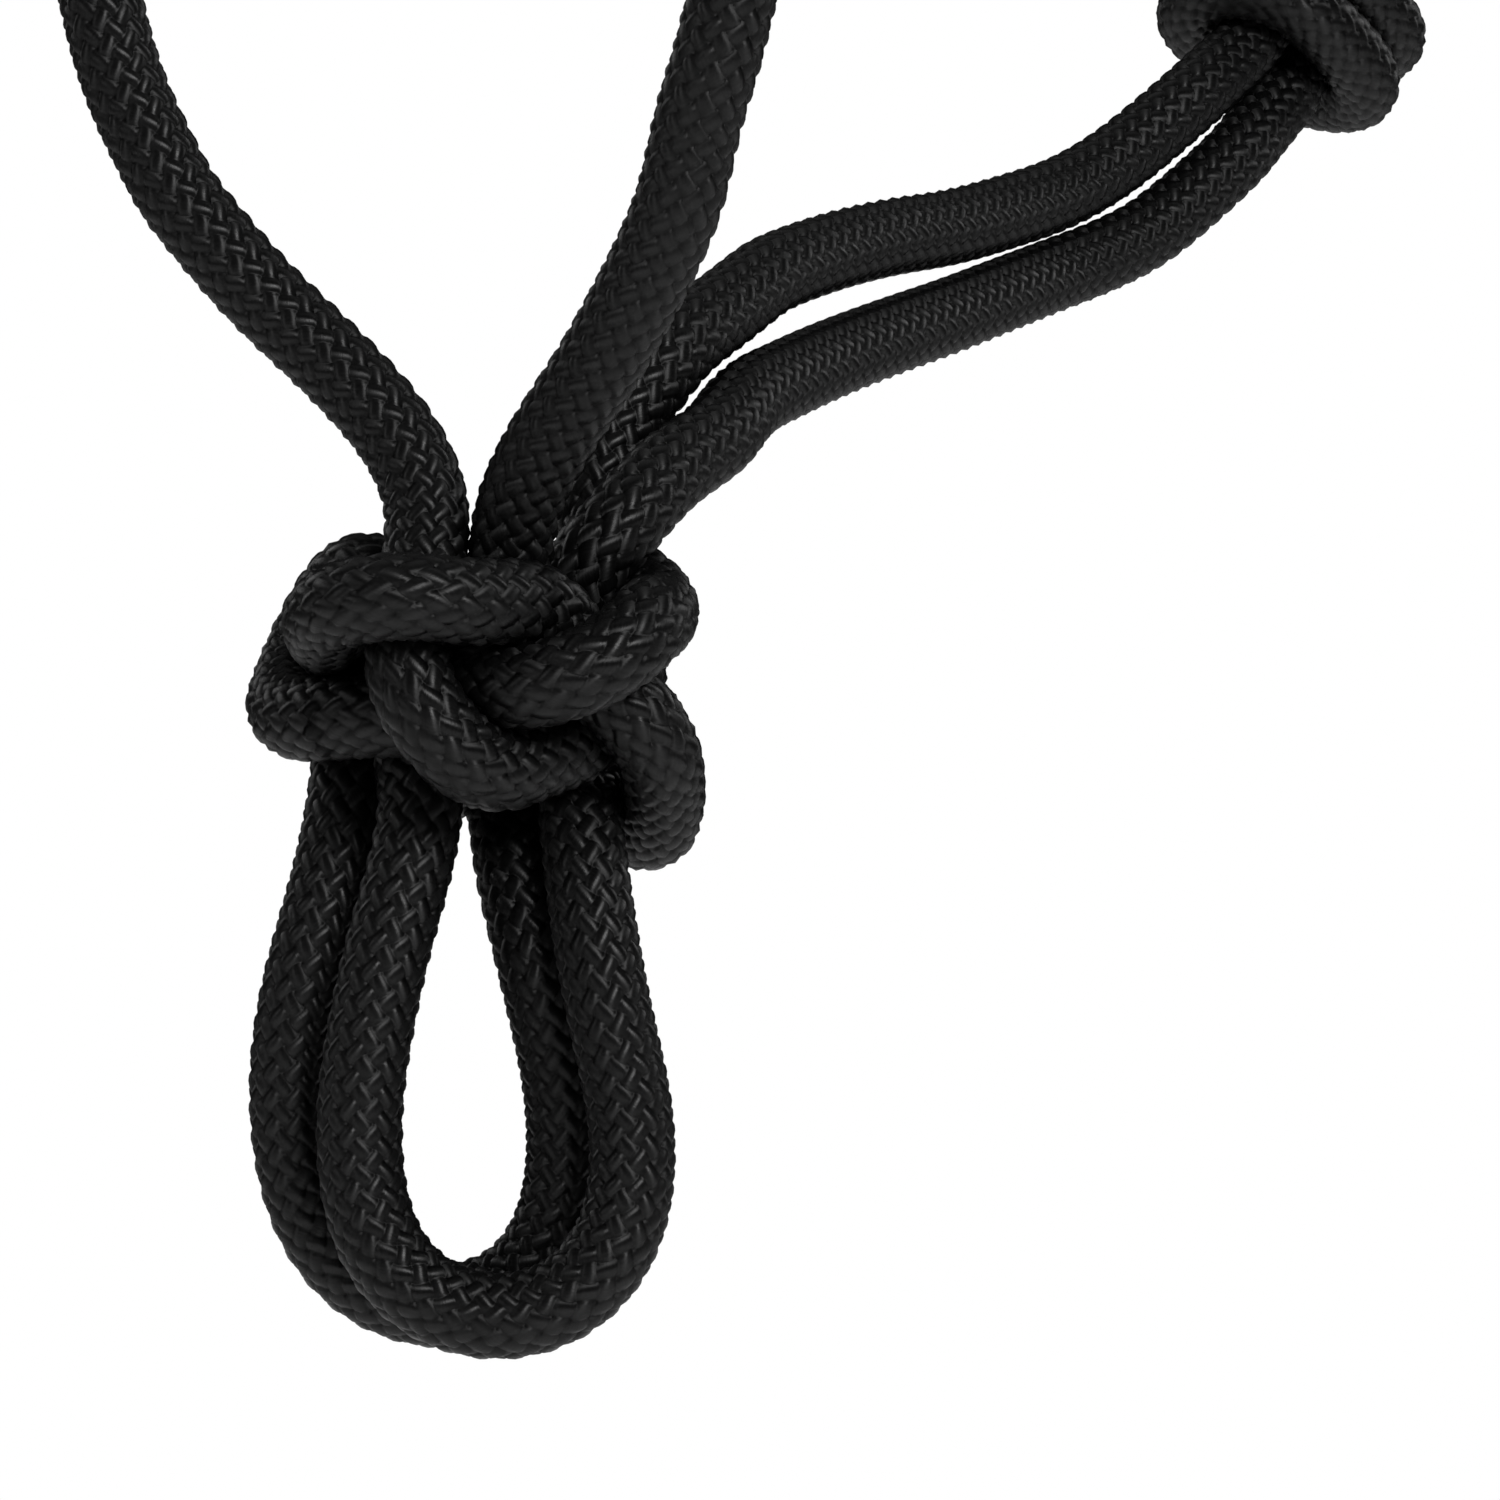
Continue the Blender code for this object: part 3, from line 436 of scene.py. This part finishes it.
LAY = 3.17 * CORD         # length of one turn of a yarn round the cord, mm
YARNS = 20                # yarns in the braid, half of them wound each way
CELL = LAY / YARNS        # one crossing's length along the cord, mm
COVER = 3.30              # radius of the braid's crests, mm
CRIMP = 0.34              # how far a yarn rises and dips as it passes over and under, mm
THICK = 0.32              # half the thickness of a yarn, mm
WIDE = 1.25               # width of a yarn, as a share of its spacing: a flat bundle, wider over the crossing than its place
# Where the facets of one crossing lie across it, from its edge to its middle.
GRADES = {3: (-0.5, -0.32, 0.32), 4: (-0.5, -0.37, 0.0, 0.37), 6: (-0.5, -0.42, -0.35, 0.0, 0.35, 0.42)}


def chained(runs):
    """The whole cord from tip to tip: its points, and where each node starts
    and ends along it."""
    first, second = runs[ORDER[0]], runs[ORDER[1]]
    at = min((np.linalg.norm(a - b), i) for i, a in enumerate(first[[0, -1]]) for b in second[[0, -1]])[1]
    line = first if at == 1 else first[::-1]
    spans = {ORDER[0]: [0, len(line)]}
    for name in ORDER[1:]:
        run = runs[name]
        if np.linalg.norm(run[-1] - line[-1]) < np.linalg.norm(run[0] - line[-1]):
            run = run[::-1]
        if np.linalg.norm(run[0] - line[-1]) > 1.5:
            raise ValueError("the cord is broken before " + name)
        spans[name] = [len(line) - 1, len(line) + len(run) - 1]
        line = np.vstack([line, run[1:]])
        spans[name][1] = len(line)
    run_at = np.concatenate([[0.0], np.cumsum(np.linalg.norm(np.diff(line, axis=0), axis=1))])
    where = {name: (run_at[a], run_at[b - 1]) for name, (a, b) in spans.items()}
    step = 0.4
    s = np.arange(0.0, run_at[-1], step)
    dense = np.stack([np.interp(s, run_at, line[:, k]) for k in range(3)], axis=1)
    kernel = np.exp(-0.5 * (np.arange(-8, 9) * step / 1.1) ** 2)
    kernel /= kernel.sum()
    padded = np.vstack([np.repeat(dense[:1], 8, 0), dense, np.repeat(dense[-1:], 8, 0)])
    smooth = np.stack([np.convolve(padded[:, k], kernel, "valid") for k in range(3)], axis=1)
    smooth[:3], smooth[-3:] = dense[:3], dense[-3:]
    return s, smooth, where


def carried_frames(line):
    """Directions across the line that don't twist along it."""
    tangent = np.gradient(line, axis=0)
    tangent /= np.linalg.norm(tangent, axis=1)[:, None]
    u = np.empty_like(tangent)
    start = np.array([0.3, 0.9, 0.1])
    u[0] = start - (start @ tangent[0]) * tangent[0]
    u[0] /= np.linalg.norm(u[0])
    for i in range(1, len(line)):
        v = u[i - 1] - (u[i - 1] @ tangent[i]) * tangent[i]
        u[i] = v / np.linalg.norm(v)
    return tangent, u, np.cross(tangent, u)


def yarn_heights(a, b):
    """The higher yarn of each family at lattice place (a, b): its height in mm
    and which yarn it is. Each passes over one yarn of the other family and
    then under one, and spreads wide and flat where it lies on top."""
    found = []
    for run, side, sign in ((a, b, 1.0), (b, a, -1.0)):
        best, which = np.full(np.shape(run), -9.0), np.zeros(np.shape(run))
        for place in (np.floor(side), np.floor(side) + 1.0):
            x = np.abs(2.0 * (side - place) / WIDE)
            body = THICK * np.sqrt(np.maximum(0.0, 1.0 - x ** 2.6))
            high = np.where(x < 1.0, sign * CRIMP * np.cos(math.pi * (run - place)) + body, -0.16)
            better = high > best
            best, which = np.where(better, high, best), np.where(better, place, which)
        found += [best, which]
    return found


def braid(name, s0, s1, k):
    """The braided cord from s0 to s1 mm along the line, k facets to a yarn.
    The facets run along the yarns: i counts along one family, j along the
    other, so a row q = i + j goes round the cord and p = i - j along it."""
    grade = np.array(GRADES[k])
    dz = CELL / k
    q0, q1 = int(math.ceil(s0 / dz)), int(math.floor(s1 / dz))
    n = YARNS // 2 * k
    q = np.arange(q0, q1 + 1)
    p = 2 * np.arange(n)[None, :] + (q[:, None] % 2)

    def lattice(pp, qq):
        i, j = (qq + pp) // 2, (qq - pp) // 2
        return i // k + grade[i % k], j // k + grade[j % k]

    a, b = lattice(p, q[:, None])
    one, _, two, _ = yarn_heights(a, b)
    level = np.maximum(one, two)
    r = COVER - (CRIMP + THICK) + level
    theta = 2 * math.pi * (a - b) / YARNS
    s = (a + b) * CELL
    flat = s.ravel()
    centre = np.stack([np.interp(flat, S, LINE[:, c]) for c in range(3)], axis=1)
    u = np.stack([np.interp(flat, S, ACROSS[:, c]) for c in range(3)], axis=1)
    v = np.stack([np.interp(flat, S, BESIDE[:, c]) for c in range(3)], axis=1)
    u /= np.linalg.norm(u, axis=1)[:, None]
    v /= np.linalg.norm(v, axis=1)[:, None]
    pts = centre + (r * np.cos(theta)).ravel()[:, None] * u + (r * np.sin(theta)).ravel()[:, None] * v
    rows = len(q)
    index = np.arange(rows * n).reshape(rows, n)
    col = np.arange(n)
    faces, uvs = [], []
    for odd in (0, 1):
        i = np.arange(rows - 2)
        r0 = i[(q[i] % 2) == odd]
        right = index[r0 + 1][:, (col + odd) % n]
        left = index[r0 + 1][:, (col + odd - 1) % n]
        faces.append(np.stack([index[r0], right, index[r0 + 2], left], axis=-1).reshape(-1, 4))
        pb, qb = p[r0], q[r0][:, None]
        corner = [lattice(pb, qb), lattice(pb + 1, qb + 1), lattice(pb, qb + 2), lattice(pb - 1, qb + 1)]
        ma, mb = sum(c[0] for c in corner) / 4, sum(c[1] for c in corner) / 4
        one, b0, two, a0 = yarn_heights(ma, mb)
        first = one >= two
        ident = np.where(first, np.mod(b0, YARNS // 2), np.mod(a0, YARNS // 2) + YARNS // 2)
        uv = [np.stack([np.where(first, y - b0, x - a0) + 0.5 + 3.0 * ident, np.where(first, x, y)], axis=-1)
              for x, y in corner]
        uvs.append(np.stack(uv, axis=2).reshape(-1, 8))
    faces = np.vstack(faces)
    uvs = np.vstack(uvs).ravel()
    verts = [tuple(x) for x in pts * 0.001]
    polys = faces.tolist()
    # Close both ends over their zigzag edges.
    caps = 0
    for lo, hi, tip in ((0, 1, s0), (rows - 1, rows - 2, s1)):
        edge = []
        for c in range(n):
            edge += [index[lo][c], index[hi][(c + (q[lo] % 2)) % n]]
        middle = len(verts)
        verts.append(tuple(np.array([np.interp(tip, S, LINE[:, k3]) for k3 in range(3)]) * 0.001))
        for c in range(len(edge)):
            x, y = edge[c], edge[(c + 1) % len(edge)]
            polys.append([middle, y, x] if lo == 0 else [middle, x, y])
            caps += 1
    me = bpy.data.meshes.new(name)
    me.from_pydata(verts, [], polys)
    layer = me.uv_layers.new(name="yarn")
    layer.data.foreach_set("uv", np.concatenate([uvs, np.tile([0.5, 0.0], 3 * caps)]).astype(np.float32))
    # crest: the yarn surface's height, which the cord material uses for painted shade in the grooves and for rougher
    # grooves
    high = np.concatenate([np.clip(level.ravel() / (CRIMP + THICK), 0.0, 1.0), [0.0, 0.0]]).astype(np.float32)
    me.attributes.new("crest", "FLOAT", "POINT").data.foreach_set("value", high)
    me.polygons.foreach_set("use_smooth", np.ones(len(polys), bool))
    me.update()
    obj = bpy.data.objects.new(name, me)
    bpy.context.scene.collection.objects.link(obj)
    return obj


# -------------------------------------------------------------------- materials
def node(tree, kind, x=0, y=0, **values):
    made = tree.nodes.new(kind)
    made.location = (x, y)
    for key, value in values.items():
        setattr(made, key, value)
    return made


def cord_material():
    """Black filament-polyester yarn: fine filaments along each yarn, a soft satin gloss, painted shade darkening the
    base colour down in the grooves, and a duller gloss there."""
    mat = bpy.data.materials.new("black_braided_cord")
    mat.use_nodes = True
    t = mat.node_tree
    bsdf = t.nodes["Principled BSDF"]
    uv = node(t, "ShaderNodeUVMap", -1500, 0, uv_map="yarn")
    stretch = node(t, "ShaderNodeMapping", -1300, 0)
    stretch.inputs["Scale"].default_value = (10.0, 0.7, 1.0)
    t.links.new(uv.outputs["UV"], stretch.inputs["Vector"])
    filaments = node(t, "ShaderNodeTexNoise", -1100, 0)
    filaments.inputs["Scale"].default_value = 1.0
    filaments.inputs["Detail"].default_value = 3.0
    filaments.inputs["Roughness"].default_value = 0.6
    t.links.new(stretch.outputs["Vector"], filaments.inputs["Vector"])
    coarse_map = node(t, "ShaderNodeMapping", -1300, -350)
    coarse_map.inputs["Scale"].default_value = (1.1, 0.35, 1.0)
    t.links.new(uv.outputs["UV"], coarse_map.inputs["Vector"])
    coarse = node(t, "ShaderNodeTexNoise", -1100, -350)
    coarse.inputs["Scale"].default_value = 1.0
    coarse.inputs["Detail"].default_value = 2.0
    t.links.new(coarse_map.outputs["Vector"], coarse.inputs["Vector"])
    height = node(t, "ShaderNodeAttribute", -1100, 350, attribute_name="crest")

    tone = node(t, "ShaderNodeValToRGB", -800, 0)
    tone.color_ramp.elements[0].position = 0.3
    tone.color_ramp.elements[0].color = (0.0012, 0.0012, 0.0012, 1)
    tone.color_ramp.elements[1].position = 0.72
    tone.color_ramp.elements[1].color = (0.0055, 0.0055, 0.0056, 1)
    t.links.new(filaments.outputs["Fac"], tone.inputs["Fac"])
    # painted shade: the base colour falls to 5% where the yarn surface is low, in the grooves between yarns
    painted_groove_shade = node(t, "ShaderNodeMapRange", -800, 350)
    painted_groove_shade.inputs["From Min"].default_value = 0.45
    painted_groove_shade.inputs["From Max"].default_value = 0.95
    painted_groove_shade.inputs["To Min"].default_value = 0.05
    painted_groove_shade.inputs["To Max"].default_value = 1.0
    t.links.new(height.outputs["Fac"], painted_groove_shade.inputs["Value"])
    patch = node(t, "ShaderNodeMapRange", -800, -350)
    patch.inputs["From Min"].default_value = 0.3
    patch.inputs["From Max"].default_value = 0.7
    patch.inputs["To Min"].default_value = 0.75
    patch.inputs["To Max"].default_value = 1.2
    t.links.new(coarse.outputs["Fac"], patch.inputs["Value"])
    # painted groove shade times the random patch tone
    both = node(t, "ShaderNodeMath", -600, 200, operation="MULTIPLY")
    t.links.new(painted_groove_shade.outputs["Result"], both.inputs[0])
    t.links.new(patch.outputs["Result"], both.inputs[1])
    dark = node(t, "ShaderNodeVectorMath", -400, 100, operation="SCALE")
    t.links.new(tone.outputs["Color"], dark.inputs[0])
    t.links.new(both.outputs["Value"], dark.inputs["Scale"])
    t.links.new(dark.outputs["Vector"], bsdf.inputs["Base Color"])

    rough = node(t, "ShaderNodeMapRange", -400, -150)
    rough.inputs["From Min"].default_value = 0.3
    rough.inputs["From Max"].default_value = 0.7
    rough.inputs["To Min"].default_value = 0.42
    rough.inputs["To Max"].default_value = 0.32
    t.links.new(coarse.outputs["Fac"], rough.inputs["Value"])
    dull = node(t, "ShaderNodeMapRange", -400, -280)
    dull.inputs["From Min"].default_value = 0.60
    dull.inputs["From Max"].default_value = 0.92
    dull.inputs["To Min"].default_value = 0.18
    dull.inputs["To Max"].default_value = 0.0
    t.links.new(height.outputs["Fac"], dull.inputs["Value"])
    rougher = node(t, "ShaderNodeMath", -200, -200, operation="ADD")
    t.links.new(rough.outputs["Result"], rougher.inputs[0])
    t.links.new(dull.outputs["Result"], rougher.inputs[1])
    t.links.new(rougher.outputs["Value"], bsdf.inputs["Roughness"])

    bump = node(t, "ShaderNodeBump", -400, -400)
    bump.inputs["Strength"].default_value = 0.6
    bump.inputs["Distance"].default_value = 0.00005
    t.links.new(filaments.outputs["Fac"], bump.inputs["Height"])
    t.links.new(bump.outputs["Normal"], bsdf.inputs["Normal"])
    lie = node(t, "ShaderNodeTangent", -400, -650, direction_type="UV_MAP", uv_map="yarn")
    t.links.new(lie.outputs["Tangent"], bsdf.inputs["Tangent"])
    bsdf.inputs["Anisotropic"].default_value = 0.85
    bsdf.inputs["Anisotropic Rotation"].default_value = 0.0
    bsdf.inputs["Metallic"].default_value = 0.0
    bsdf.inputs["IOR"].default_value = 1.5
    bsdf.inputs["Specular IOR Level"].default_value = 0.26
    return mat


def tip_material():
    """Waxed black whipping thread with a melted, glossy end."""
    mat = bpy.data.materials.new("whipped_tip")
    mat.use_nodes = True
    t = mat.node_tree
    bsdf = t.nodes["Principled BSDF"]
    coord = node(t, "ShaderNodeTexCoord", -1200, 0)
    fine = node(t, "ShaderNodeTexNoise", -900, 100)
    fine.inputs["Scale"].default_value = 2400.0
    fine.inputs["Detail"].default_value = 3.0
    t.links.new(coord.outputs["Object"], fine.inputs["Vector"])
    broad = node(t, "ShaderNodeTexNoise", -900, -200)
    broad.inputs["Scale"].default_value = 420.0
    broad.inputs["Detail"].default_value = 2.0
    t.links.new(coord.outputs["Object"], broad.inputs["Vector"])
    tone = node(t, "ShaderNodeValToRGB", -600, 100)
    tone.color_ramp.elements[0].color = (0.006, 0.006, 0.0065, 1)
    tone.color_ramp.elements[1].color = (0.024, 0.024, 0.025, 1)
    t.links.new(fine.outputs["Fac"], tone.inputs["Fac"])
    t.links.new(tone.outputs["Color"], bsdf.inputs["Base Color"])
    rough = node(t, "ShaderNodeMapRange", -600, -200)
    rough.inputs["To Min"].default_value = 0.22
    rough.inputs["To Max"].default_value = 0.5
    t.links.new(broad.outputs["Fac"], rough.inputs["Value"])
    t.links.new(rough.outputs["Result"], bsdf.inputs["Roughness"])
    bump = node(t, "ShaderNodeBump", -400, -400)
    bump.inputs["Strength"].default_value = 0.4
    bump.inputs["Distance"].default_value = 0.0001
    t.links.new(fine.outputs["Fac"], bump.inputs["Height"])
    t.links.new(bump.outputs["Normal"], bsdf.inputs["Normal"])
    return mat


def turned_tip(name, s_from, s_to):
    """The end of a tail: whipping thread wound round the cord, then the melted
    end of the cord beyond it. s_to is the very tip."""
    way = 1.0 if s_to > s_from else -1.0
    length = abs(s_to - s_from)
    around, pitch, thread = 40, 0.86, 0.43
    steps = int(length / 0.11)
    verts, polys = [], []
    for i in range(steps + 1):
        d = length * i / steps
        s = s_from + way * d
        c = np.array([np.interp(s, S, LINE[:, k]) for k in range(3)])
        u = np.array([np.interp(s, S, ACROSS[:, k]) for k in range(3)])
        v = np.array([np.interp(s, S, BESIDE[:, k]) for k in range(3)])
        for j in range(around):
            a = 2 * math.pi * j / around
            if d < length - 4.2:
                phase = ((d / pitch) - j / around) % 1.0
                r = 3.28 + thread * math.sqrt(max(0.0, 1.0 - (2 * phase - 1) ** 2)) * min(1.0, (length - 4.2 - d) / 0.5, (d + 0.25) / 0.5)
            else:
                x = (d - (length - 4.2)) / 4.2
                lump = 0.10 * math.sin(3 * a + 1.3) + 0.06 * math.sin(5 * a - 0.4)
                r = (3.22 + lump * x) * math.sqrt(max(0.0, 1.0 - max(0.0, (x - 0.55) / 0.45) ** 2.4))
            verts.append(tuple((c + r * (math.cos(a) * u + math.sin(a) * v)) * 0.001))
    for i in range(steps):
        for j in range(around):
            k = (j + 1) % around
            quad = [i * around + j, i * around + k, (i + 1) * around + k, (i + 1) * around + j]
            polys.append(quad if way > 0 else quad[::-1])
    for ring, flip in ((0, True), (steps, False)):
        s = s_from if ring == 0 else s_to
        c = np.array([np.interp(s, S, LINE[:, k]) for k in range(3)])
        verts.append(tuple(c * 0.001))
        m = len(verts) - 1
        for j in range(around):
            k = (j + 1) % around
            tri = [m, ring * around + j, ring * around + k]
            if flip == (way > 0):
                tri = tri[::-1]
            polys.append(tri)
    me = bpy.data.meshes.new(name)
    me.from_pydata(verts, [], polys)
    me.polygons.foreach_set("use_smooth", np.ones(len(polys), bool))
    me.update()
    me.validate()
    obj = bpy.data.objects.new(name, me)
    bpy.context.scene.collection.objects.link(obj)
    return obj


# ----------------------------------------------------------------------- pieces
RUNS = halter_runs()
S, LINE, WHERE = chained(RUNS)
ALONG, ACROSS, BESIDE = carried_frames(LINE)
CORD_MATERIAL, TIP_MATERIAL = cord_material(), tip_material()


def middle(name, f=0.5):
    a, b = WHERE[name]
    return a + (b - a) * f


def nodes_between(first, last):
    return ORDER[ORDER.index(first):ORDER.index(last) + 1]


NEAR, FAR = 6, 3
LAP = 0.8

# name, start, end, facets to a yarn, nodes it stands for, how it moves
PIECES = [
    ("tail_cord_front", WHERE["tail_front"][0] - 6.0, WHERE["tail_front"][1] + 5.0, FAR, ["tail_front"], "tails"),
    ("crown_cord_rear", WHERE["tail_front"][1] + 1.0, middle("throat_knot_right_cheek_pass"), FAR,
     ["tie_knot_rear_pass", "crown_strand_rear", "throat_knot_right_cheek_pass"], "halter"),
    ("cheek_cord_right", middle("throat_knot_right_cheek_pass"), middle("cheek_knot_right_cheek_pass"), FAR,
     ["cheek_piece_right", "cheek_knot_right_cheek_pass"], "halter"),
    ("noseband_cord_lower", middle("cheek_knot_right_cheek_pass"), middle("cheek_knot_left_cheek_pass"), FAR,
     ["noseband_lower", "cheek_knot_left_cheek_pass"], "halter"),
    ("cheek_cord_left", middle("cheek_knot_left_cheek_pass"), middle("throat_knot_left_cheek_pass"), FAR,
     ["cheek_piece_left", "throat_knot_left_cheek_pass"], "halter"),
    ("crown_eye_cord", middle("throat_knot_left_cheek_pass"), middle("throat_knot_left_throat_pass"), FAR,
     ["crown_eye_loop", "throat_knot_left_throat_pass"], "halter"),
    ("throat_cord_left_upper", middle("throat_knot_left_throat_pass"), middle("throat_strand_left", 0.80), FAR,
     [], "halter"),
    ("throat_cord_left_lower", middle("throat_strand_left", 0.80), middle("fiador_left_throat_pass"), NEAR,
     ["throat_strand_left", "fiador_left_throat_pass"], "halter"),
    ("lead_loop_cord_rear", middle("fiador_left_throat_pass"), middle("fiador_right_chin_pass"), NEAR,
     ["lead_loop_rear"], "loops"),
    ("chin_cord_right", middle("fiador_right_chin_pass"), middle("chin_knot_lower_pass"), NEAR,
     ["fiador_right_chin_pass", "chin_strand_right"], "halter"),
    ("jaw_cord_left", middle("chin_knot_lower_pass"), middle("cheek_knot_left_jaw_pass"), 4,
     ["chin_knot_lower_pass", "jaw_strand_left", "cheek_knot_left_jaw_pass"], "halter"),
    ("noseband_cord_upper", middle("cheek_knot_left_jaw_pass"), middle("cheek_knot_right_jaw_pass"), FAR,
     ["noseband_upper", "cheek_knot_right_jaw_pass"], "halter"),
    ("jaw_cord_right", middle("cheek_knot_right_jaw_pass"), middle("chin_knot_upper_pass"), 4,
     ["jaw_strand_right"], "halter"),
    ("chin_cord_left", middle("chin_knot_upper_pass"), middle("fiador_left_chin_pass"), NEAR,
     ["chin_knot_upper_pass", "chin_strand_left"], "halter"),
    ("lead_loop_cord_front", middle("fiador_left_chin_pass"), middle("fiador_right_throat_pass"), NEAR,
     ["fiador_left_chin_pass", "lead_loop_front"], "loops"),
    ("throat_cord_right_lower", middle("fiador_right_throat_pass"), middle("throat_strand_right", 0.20), NEAR,
     ["fiador_right_throat_pass", "throat_strand_right"], "halter"),
    ("throat_cord_right_upper", middle("throat_strand_right", 0.20), middle("throat_knot_right_throat_pass"), FAR,
     [], "halter"),
    ("crown_cord_front", middle("throat_knot_right_throat_pass"), WHERE["tail_rear"][0] - 1.0, FAR,
     ["throat_knot_right_throat_pass", "crown_strand_front", "tie_knot_front_pass"], "halter"),
    ("tail_cord_rear", WHERE["tail_rear"][0] - 5.0, WHERE["tail_rear"][1] + 6.0, FAR, ["tail_rear"], "tails"),
]

total = 0
for name, s0, s1, k, stands_for, moves in PIECES:
    obj = braid(name, s0 - LAP, s1 + LAP, k)
    obj.data.materials.append(CORD_MATERIAL)
    total += len(obj.data.polygons)
    if stands_for:
        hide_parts(*stands_for)
    if moves == "halter":
        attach(obj, "halter")
    elif moves == "loops":
        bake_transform(obj)
    else:
        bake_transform(obj)
        pick = (S >= s0) & (S <= s1)
        path = LINE[pick] if name.endswith("rear") else LINE[pick][::-1]
        path = path[::4] * 0.001
        tip = turned_tip("tail_tip_" + name.split("_")[2],
                         *(WHERE["tail_whipping_" + name.split("_")[2]] if name.endswith("rear")
                           else WHERE["tail_whipping_front"][::-1]))
        tip.data.materials.append(TIP_MATERIAL)
        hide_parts("tail_whipping_" + name.split("_")[2])
        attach(tip, "tails")
print("braid faces", total)

# ------------------------------------------------------------ floor and light
def studio_material(name, colour, rough):
    mat = bpy.data.materials.new(name)
    mat.use_nodes = True
    t = mat.node_tree
    bsdf = t.nodes["Principled BSDF"]
    coord = node(t, "ShaderNodeTexCoord", -900, 0)
    noise = node(t, "ShaderNodeTexNoise", -700, 0)
    noise.inputs["Scale"].default_value = 3.0
    t.links.new(coord.outputs["Object"], noise.inputs["Vector"])
    ramp = node(t, "ShaderNodeValToRGB", -450, 0)
    ramp.color_ramp.elements[0].color = (*[c * 0.985 for c in colour], 1)
    ramp.color_ramp.elements[1].color = (*colour, 1)
    t.links.new(noise.outputs["Fac"], ramp.inputs["Fac"])
    t.links.new(ramp.outputs["Color"], bsdf.inputs["Base Color"])
    bsdf.inputs["Roughness"].default_value = rough
    return mat


FLOOR_Z = -0.76
me = bpy.data.meshes.new("floor")
disc = [(0.1 + 1.5 * math.cos(k * math.pi / 48), 1.5 * math.sin(k * math.pi / 48), FLOOR_Z) for k in range(96)]
me.from_pydata(disc, [], [list(range(96))])
floor = bpy.data.objects.new("floor", me)
bpy.context.scene.collection.objects.link(floor)
floor.data.materials.append(studio_material("pale_floor", (0.93, 0.93, 0.93), 0.7))

world = bpy.data.worlds.new("soft_white")
bpy.context.scene.world = world
world.use_nodes = True
wt = world.node_tree
ground = wt.nodes["Background"]
ground.inputs["Color"].default_value = (1.0, 1.0, 1.0, 1.0)
rays = node(wt, "ShaderNodeLightPath", -600, 0)
level = node(wt, "ShaderNodeMapRange", -300, 0)
level.inputs["To Min"].default_value = 0.035
level.inputs["To Max"].default_value = 1.0
wt.links.new(rays.outputs["Is Camera Ray"], level.inputs["Value"])
wt.links.new(level.outputs["Result"], ground.inputs["Strength"])


def area(name, at, to, size, power):
    light = bpy.data.lights.new(name, "AREA")
    light.shape = "RECTANGLE"
    light.size, light.size_y = size
    light.energy = power
    obj = bpy.data.objects.new(name, light)
    bpy.context.scene.collection.objects.link(obj)
    at, to = np.array(at), np.array(to)
    d = (to - at) / np.linalg.norm(to - at)
    obj.location = at
    from mathutils import Vector
    obj.rotation_euler = Vector(d).to_track_quat("-Z", "Y").to_euler()
    return obj


EYE_AT = (SHEET_MID - FWD * EYE) * 0.001
KNOT_AT = SHEET_MID * 0.001
area("key", KNOT_AT - 0.66 * FWD + 0.34 * RIGHT + 0.40 * UP, KNOT_AT, (0.26, 0.26), 5.6)
area("fill", KNOT_AT - 0.50 * FWD - 0.80 * RIGHT + 0.25 * UP, KNOT_AT, (0.25, 0.4), 0.9)
area("overhead", KNOT_AT + 0.1 * FWD + 0.95 * UP, KNOT_AT, (0.9, 0.9), 0.8)

area("back_left", KNOT_AT + 0.50 * FWD - 0.75 * RIGHT + 0.45 * UP, KNOT_AT + 0.15 * UP, (0.4, 0.4), 1.6)
area("back_right", KNOT_AT + 0.50 * FWD + 0.75 * RIGHT + 0.45 * UP, KNOT_AT + 0.15 * UP, (0.4, 0.4), 1.6)

# A lamp for the floor alone, so that it stays pale under a black object.
lamp = bpy.data.lights.new("floor_lamp", "SUN")
lamp.energy = 1.0
lamp.angle = 0.6
floor_lamp = bpy.data.objects.new("floor_lamp", lamp)
floor_lamp.location = (0.1, 0.0, 0.6)
bpy.context.scene.collection.objects.link(floor_lamp)
lit = bpy.data.collections.new("floor_only")
lit.objects.link(floor)
floor_lamp.light_linking.receiver_collection = lit

camera = bpy.data.cameras.new("camera")
camera.sensor_width = 36.0
camera.sensor_fit = "HORIZONTAL"
camera.lens = 36.0 * EYE / (1500.0 / SHEET)
camera.clip_start = 0.01
eye = bpy.data.objects.new("camera", camera)
bpy.context.scene.collection.objects.link(eye)
from mathutils import Matrix
eye.matrix_world = Matrix((
    (RIGHT[0], UP[0], -FWD[0], EYE_AT[0]),
    (RIGHT[1], UP[1], -FWD[1], EYE_AT[1]),
    (RIGHT[2], UP[2], -FWD[2], EYE_AT[2]),
    (0.0, 0.0, 0.0, 1.0)))
bpy.context.scene.camera = eye
bpy.context.scene.view_settings.view_transform = "Standard"

bpy.context.view_layer.update()
